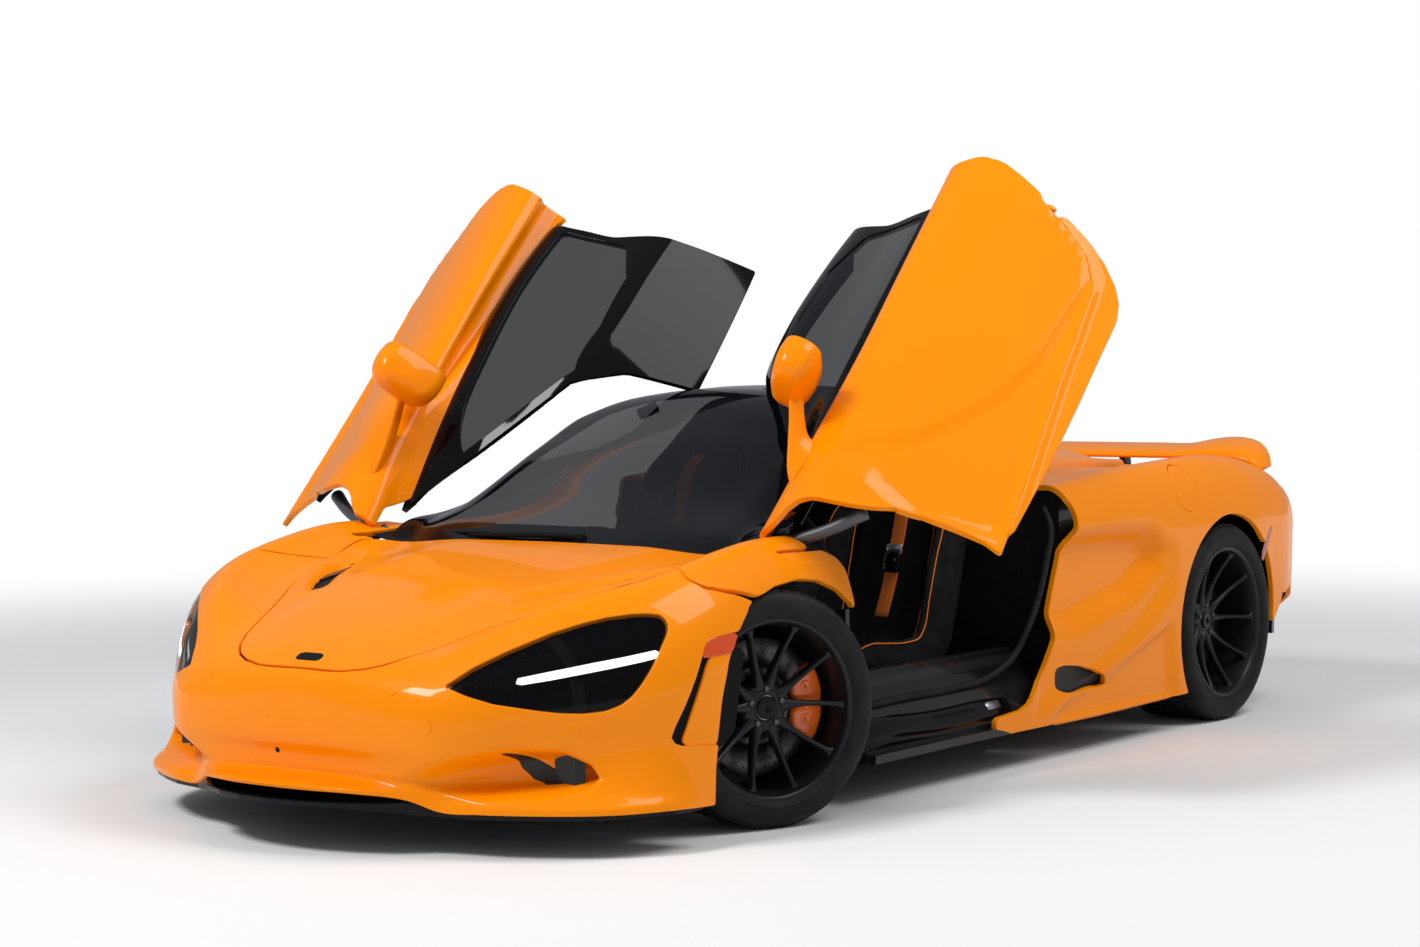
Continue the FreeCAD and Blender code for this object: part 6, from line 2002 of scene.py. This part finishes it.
DASH_DROPS = ((-0.700, 0.016), (-0.660, 0.006), (-0.450, 0.0), (-0.120, 0.0), (0.120, 0.0), (0.300, 0.0),
              (0.450, 0.0), (0.660, 0.006), (0.700, 0.016))
VENTS_X = (-0.60, -0.150, 0.150, 0.60)
CONSOLE_ROWS = ((-0.700, 0.520, 0.150, 0.160), (-0.600, 0.470, 0.170, 0.130), (-0.420, 0.430, 0.186, 0.084),
                (-0.150, 0.428, 0.190, 0.080), (0.050, 0.428, 0.184, 0.078))


def make_dash():
    """Dashboard with its strips, displays and air vents."""
    rings = []
    for x, drop in DASH_DROPS:
        hood = 0.022 if 0.15 < x < 0.60 else 0.0
        rings.append([(x, y, z - drop + (hood if z > 0.74 else 0.0)) for y, z in DASH])
    dash = piece("dash_body", lofted(rings, 6, 3), "suede")
    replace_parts(dash, "dashboard")
    for k, (low, high) in enumerate(((0.150, 0.640), (-0.640, -0.150))):
        rings = [ring_of((x, front(506), 0.700), (0, 0, 1), (0, 1, 0), rounded(0.052, 0.012, 0.45, 4))
                 for x in np.linspace(low, high, 6)]
        piece(f"dash_strip_{k}", lofted(rings, 0, 0), "orange_leather")
    display = slab(rounded(0.150, 0.215), -0.006, 0.006, axis=1, bevel=0.003)
    piece("centre_display", placed(display, (0.0, front(514), 0.640), -14.0), "gloss_black")
    gauges = slab(rounded(0.250, 0.100), -0.010, 0.010, axis=1, bevel=0.004)
    piece("gauge_display", placed(gauges, (0.370, front(500), 0.800), -24.0), "gloss_black")
    vent = slab(rounded(0.088, 0.034), -0.004, 0.004, axis=1, bevel=0.002)
    piece("air_vents", joined(*[placed(vent, (x, front(509), 0.748)) for x in VENTS_X]), "matt")
    outline = [(-0.040, 0.0), (0.040, 0.0), (0.040, 0.0015), (-0.040, 0.0015)]
    fin = slab(outline, -0.003, 0.006, axis=1, bevel=0.0004)
    fins = [repeated(placed(fin, (x, front(512), 0.736)), 5, step=(0.0, 0.0, 0.006)) for x in VENTS_X]
    piece("vent_fins", joined(*fins), "dark_metal", smooth=False)


def make_console():
    """Console with its knobs and keys."""
    console = [ring_of((0.0, y, z), (1, 0, 0), (0, 0, 1), rounded(wide, high, 0.30, 5))
               for y, z, wide, high in CONSOLE_ROWS]
    piece("console", lofted(console, 5, 2), "leather")
    profile = [(0.0, 0.0002), (0.0, 0.030), (0.014, 0.030), (0.018, 0.026), (0.016, 0.018), (0.017, 0.0002)]
    knob = revolved(profile, 40)
    knobs = [placed(knob, (0.0, y, 0.466), -90.0, (0, 1, 0)) for y in (-0.300, -0.215)]
    piece("console_knobs", joined(*knobs), "alloy")
    key = placed(slab(rounded(0.110, 0.030), 0.466, 0.474, axis=2, bevel=0.002), (0.0, -0.150, 0.0))
    piece("console_keys", repeated(key, 4, step=(0.0, 0.040, 0.0)), "gloss_black")


def make_cabin():
    """Dashboard, console, seats, belts, carpets and pedals."""
    make_dash()
    make_console()
    make_steering_wheel()
    seats = pair("seat", seat_shape(), "suede")
    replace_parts(seats[0], "seats")
    seams = [tube(seam_line(share), 0.0022, 6, 6) for share in (-0.62, 0.62, -0.90, 0.90)]
    pair("seat_piping", joined(*seams), "orange_leather")
    make_belts()
    floor_edge = [(0.175, front(330)), (0.700, front(330)), (0.700, front(1400)), (0.175, front(1400))]
    pair("floor_mat", slab(floor_edge, 0.150, 0.160, axis=2, bevel=0.004), "carpet")
    heel = slab(rounded_at((0.420, -0.560), 0.230, 0.180), 0.160, 0.166, axis=2, bevel=0.002)
    pair("heel_pad", heel, "rubber")
    pedals = [slab(rounded_at((x, 0.262), wide, 0.090), -0.800, -0.790, axis=1, bevel=0.003)
              for x, wide in ((0.330, 0.060), (0.430, 0.045))]
    piece("pedals", joined(*pedals), "alloy")


def make_belts():
    """Shoulder straps with buckles."""
    path = [(0.452, front(1500), 0.880), (0.452, front(1462), 0.860), (0.450, front(1432), 0.800),
            (0.444, front(1392), 0.660), (0.436, front(1352), 0.520), (0.428, front(1318), 0.425)]
    rings = []
    for k, (x, y, z) in enumerate(path):
        ahead = np.array(path[min(k + 1, 5)]) - np.array(path[max(k - 1, 0)])
        normal = np.cross((1.0, 0.0, 0.0), ahead)
        normal /= np.linalg.norm(normal)
        normal *= -1.0 if normal[1] > 0 else 1.0
        across = rounded(0.050, 0.003, 0.45, 3)
        rings.append(ring_of(np.array((x, y, z)) + normal * 0.082, (1, 0, 0), normal, across))
    straps = pair("belt_strap", lofted(rings, 6, 0), "belt")
    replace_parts(straps[0], "seat_belts")
    normal = np.array((0.0, -0.957, 0.29))
    slide = np.cross((1.0, 0.0, 0.0), normal)
    at = np.array((0.441, front(1376), 0.600)) + normal * 0.086
    buckle = [ring_of(at + normal * lift, (1, 0, 0), slide, rounded(0.062 * s, 0.070 * s, 0.25, 4))
              for lift, s in ((-0.005, 0.9), (-0.002, 1.0), (0.009, 1.0), (0.013, 0.90))]
    pair("belt_buckle", lofted(buckle, 0, 0), "gloss_black")
    tip = at + slide * 0.046 * (1 if slide[2] > 0 else -1)
    tongue = [ring_of(tip + normal * lift, (1, 0, 0), slide, rounded(0.058 * s, 0.026 * s, 0.3, 4))
              for lift, s in ((-0.002, 0.9), (0.0, 1.0), (0.006, 1.0), (0.008, 0.9))]
    pair("belt_tongue", lofted(tongue, 0, 0), "alloy")


class SUPERCAR_OT_cabin(bpy.types.Operator):
    """Makes the dashboard, seats, belts and steering wheel"""
    bl_idname = "supercar.cabin"
    bl_label = "Cabin"

    def execute(self, context):
        make_cabin()
        return {"FINISHED"}


# Rear wing, tail and sills


WING_ROWS = (
    # x, front y, front z, rear y, rear z, thickness
    (0.000, 1.990, 0.903, 2.232, 0.942, 0.032),
    (0.300, 1.990, 0.903, 2.232, 0.942, 0.032),
    (0.480, 1.989, 0.903, 2.230, 0.945, 0.034),
    (0.570, 1.985, 0.904, 2.225, 0.962, 0.040),
    (0.680, 1.978, 0.904, 2.205, 0.964, 0.042),
    (0.765, 1.974, 0.896, 2.165, 0.942, 0.040),
    (0.815, 1.978, 0.878, 2.118, 0.904, 0.032),
    (0.838, 1.992, 0.860, 2.082, 0.870, 0.014),
)
WING_SECTION = ((0.0, 0.0), (0.03, 0.26), (0.14, 0.50), (0.40, 0.62), (0.70, 0.50), (0.92, 0.26),
                (1.0, 0.10), (1.0, -0.06), (0.90, -0.10), (0.60, -0.26), (0.30, -0.38), (0.10, -0.34),
                (0.02, -0.18))
TAIL_LENS = [(0.556, 0.702), (0.600, 0.668), (0.672, 0.637), (0.690, 0.638), (0.716, 0.690), (0.716, 0.704),
             (0.612, 0.744), (0.598, 0.744)]


def make_tail():
    """Wing and its posts, tail lamps, exhaust outlets."""
    rings = []
    rows = [(-row[0], *row[1:]) for row in reversed(WING_ROWS[1:])] + list(WING_ROWS)
    for x, y0, z0, y1, z1, thick in rows:
        chord = np.array((0.0, y1 - y0, z1 - z0))
        up = np.cross((1.0, 0.0, 0.0), chord / np.linalg.norm(chord))
        rings.append([np.array((x, y0, z0)) + chord * a + up * thick * b for a, b in WING_SECTION])
    blade = piece("wing_blade", lofted(rings, 8, 4), "paint", "rear_wing")
    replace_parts(blade, "rear_wing")
    rings = [ring_of((0.251, y, z), (1, 0, 0), (0, 1, 0), rounded(0.022, long, 0.48, 6))
             for y, z, long in ((2.070, 0.800, 0.060), (2.060, 0.850, 0.058), (2.040, 0.905, 0.070))]
    pair("wing_post", lofted(rings, 5, 2), "gloss_black", ("rear_wing", "rear_wing"))
    lens = slab(TAIL_LENS, rear(736), rear(744), axis=1, bevel=0.003)
    lamps = pair("tail_lens", lens, "red_lens")
    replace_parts(lamps[0], "tail_lamps")
    bars = []
    for lift in (0.0, 0.020, 0.040):
        line = [(0.575 + 0.3 * lift, 0.704 + lift), (0.640 + 0.3 * lift, 0.676 + lift),
                (0.684, 0.658 + lift)]
        bars.append(tube([(x, rear(745), z) for x, z in line], 0.0026, 8, 5))
    pair("tail_light_bars", joined(*bars), "red_lens")
    make_exhaust()


# Profile of an exhaust outlet along its axis, and where its axis is
OUTLET = [(-0.240, 0.044), (-0.040, 0.052), (-0.004, 0.0525), (0.0, 0.0510), (0.0, 0.0485),
          (-0.004, 0.0470), (-0.040, 0.0465), (-0.240, 0.0400)]
OUTLET_X, OUTLET_Z = 0.082, 0.600


def make_exhaust():
    """Two outlets, each closed deep inside by a matt black disc as painted shade of the pipe's inside."""
    pipe = placed(revolved(OUTLET, 64), (OUTLET_X, rear(745), OUTLET_Z), 90.0, (0, 0, 1))
    outlets = pair("exhaust_outlet", pipe, "steel")
    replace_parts(outlets[0], "exhaust")
    # Matt black disc deep inside each outlet: painted shade of the pipe's inside
    turn = [k * math.pi / 16 for k in range(32)]
    disc = [(0.043 * math.cos(a), 0.043 * math.sin(a)) for a in turn]
    core = slab(disc, rear(580), rear(584), axis=1, bevel=0.0005)
    pair("exhaust_core", placed(core, (OUTLET_X, 0.0, OUTLET_Z)), "matt")


SILL_SECTION = [(0.906, 0.150), (0.900, 0.1575), (0.884, 0.1700), (0.872, 0.1860), (0.852, 0.2160),
                (0.846, 0.2180), (0.842, 0.2130), (0.866, 0.1760), (0.880, 0.1640), (0.900, 0.1480)]
DOOR_SEAL = [(0.826, -0.780, 0.262), (0.822, -0.450, 0.268), (0.822, -0.100, 0.268), (0.826, 0.050, 0.280),
             (0.846, 0.160, 0.330), (0.866, 0.235, 0.430), (0.876, 0.290, 0.540), (0.878, 0.330, 0.640),
             (0.870, 0.368, 0.740), (0.840, 0.375, 0.800)]


def on_sill(plate, y, z):
    """A small plate laid on the sill's sloping face."""
    return placed(plate, (0.8655, y, z), -36.0, (0, 1, 0))


def make_sills():
    """Sill covers with their plates, slots and door seals."""
    rings = []
    for y, drop in ((-0.800, 0.006), (-0.770, 0.0), (-0.300, 0.0), (0.060, 0.0), (0.110, 0.004)):
        rings.append([(x, y, z - drop) for x, z in SILL_SECTION])
    pair("sill_cover", lofted(rings, 4, 3), "gloss_black")
    outline = [(-0.040, -0.014), (0.040, -0.014), (0.040, 0.014), (-0.040, 0.014)]
    plate = slab(outline, 0.0, 0.0018, axis=0, bevel=0.0006)
    pair("sill_plate", on_sill(plate, 0.010, 0.2010), "alloy")
    slot = slab(rounded(0.240, 0.006), 0.0, 0.0010, axis=0, bevel=0.0004)
    pair("sill_slots", joined(*[on_sill(slot, y, 0.2006) for y in (-0.560, -0.220)]), "matt")
    pair("door_seal", tube(DOOR_SEAL, 0.011, 10, 6), "rubber")


class SUPERCAR_OT_tail(bpy.types.Operator):
    """Makes the wing, tail lamps, exhaust outlets and sills"""
    bl_idname = "supercar.tail"
    bl_label = "Tail and sills"

    def execute(self, context):
        make_tail()
        make_sills()
        return {"FINISHED"}


class SUPERCAR_PT_panel(bpy.types.Panel):
    """Sizes and pieces of the supercar"""
    bl_idname = "SUPERCAR_PT_panel"
    bl_label = "Supercar"
    bl_space_type = "VIEW_3D"
    bl_region_type = "UI"
    bl_category = "Supercar"

    def draw(self, context):
        layout = self.layout
        for group, names in SETTINGS:
            box = layout.box()
            for name in names:
                box.prop(getattr(context.scene, group), name)
        for step in STEPS:
            layout.operator(step.bl_idname)


SETTINGS = (
    ("supercar_paint", ("colour", "deep", "gap")),
    ("supercar_wheels", ("spoke_pairs", "tread_pitch")),
    ("supercar_stage", ("sky", "key")),
)
STEPS = (
    SUPERCAR_OT_finishes, SUPERCAR_OT_stage, SUPERCAR_OT_front_panels, SUPERCAR_OT_nose_details,
    SUPERCAR_OT_rear_panels, SUPERCAR_OT_doors, SUPERCAR_OT_canopy, SUPERCAR_OT_wheels, SUPERCAR_OT_cabin,
    SUPERCAR_OT_tail,
)
GROUPS = (("supercar_paint", PaintSettings), ("supercar_wheels", WheelSettings),
          ("supercar_stage", StageSettings))


def register():
    for _, group in GROUPS:
        bpy.utils.register_class(group)
    for name, group in GROUPS:
        setattr(bpy.types.Scene, name, bpy.props.PointerProperty(type=group))
    for step in STEPS:
        bpy.utils.register_class(step)
    bpy.utils.register_class(SUPERCAR_PT_panel)


def unregister():
    bpy.utils.unregister_class(SUPERCAR_PT_panel)
    for step in reversed(STEPS):
        bpy.utils.unregister_class(step)
    for name, _ in GROUPS:
        delattr(bpy.types.Scene, name)
    for _, group in reversed(GROUPS):
        bpy.utils.unregister_class(group)


def main():
    register()
    for step in STEPS:
        group, name = step.bl_idname.split(".")
        getattr(getattr(bpy.ops, group), name)()


if __name__ == "__main__":
    main()
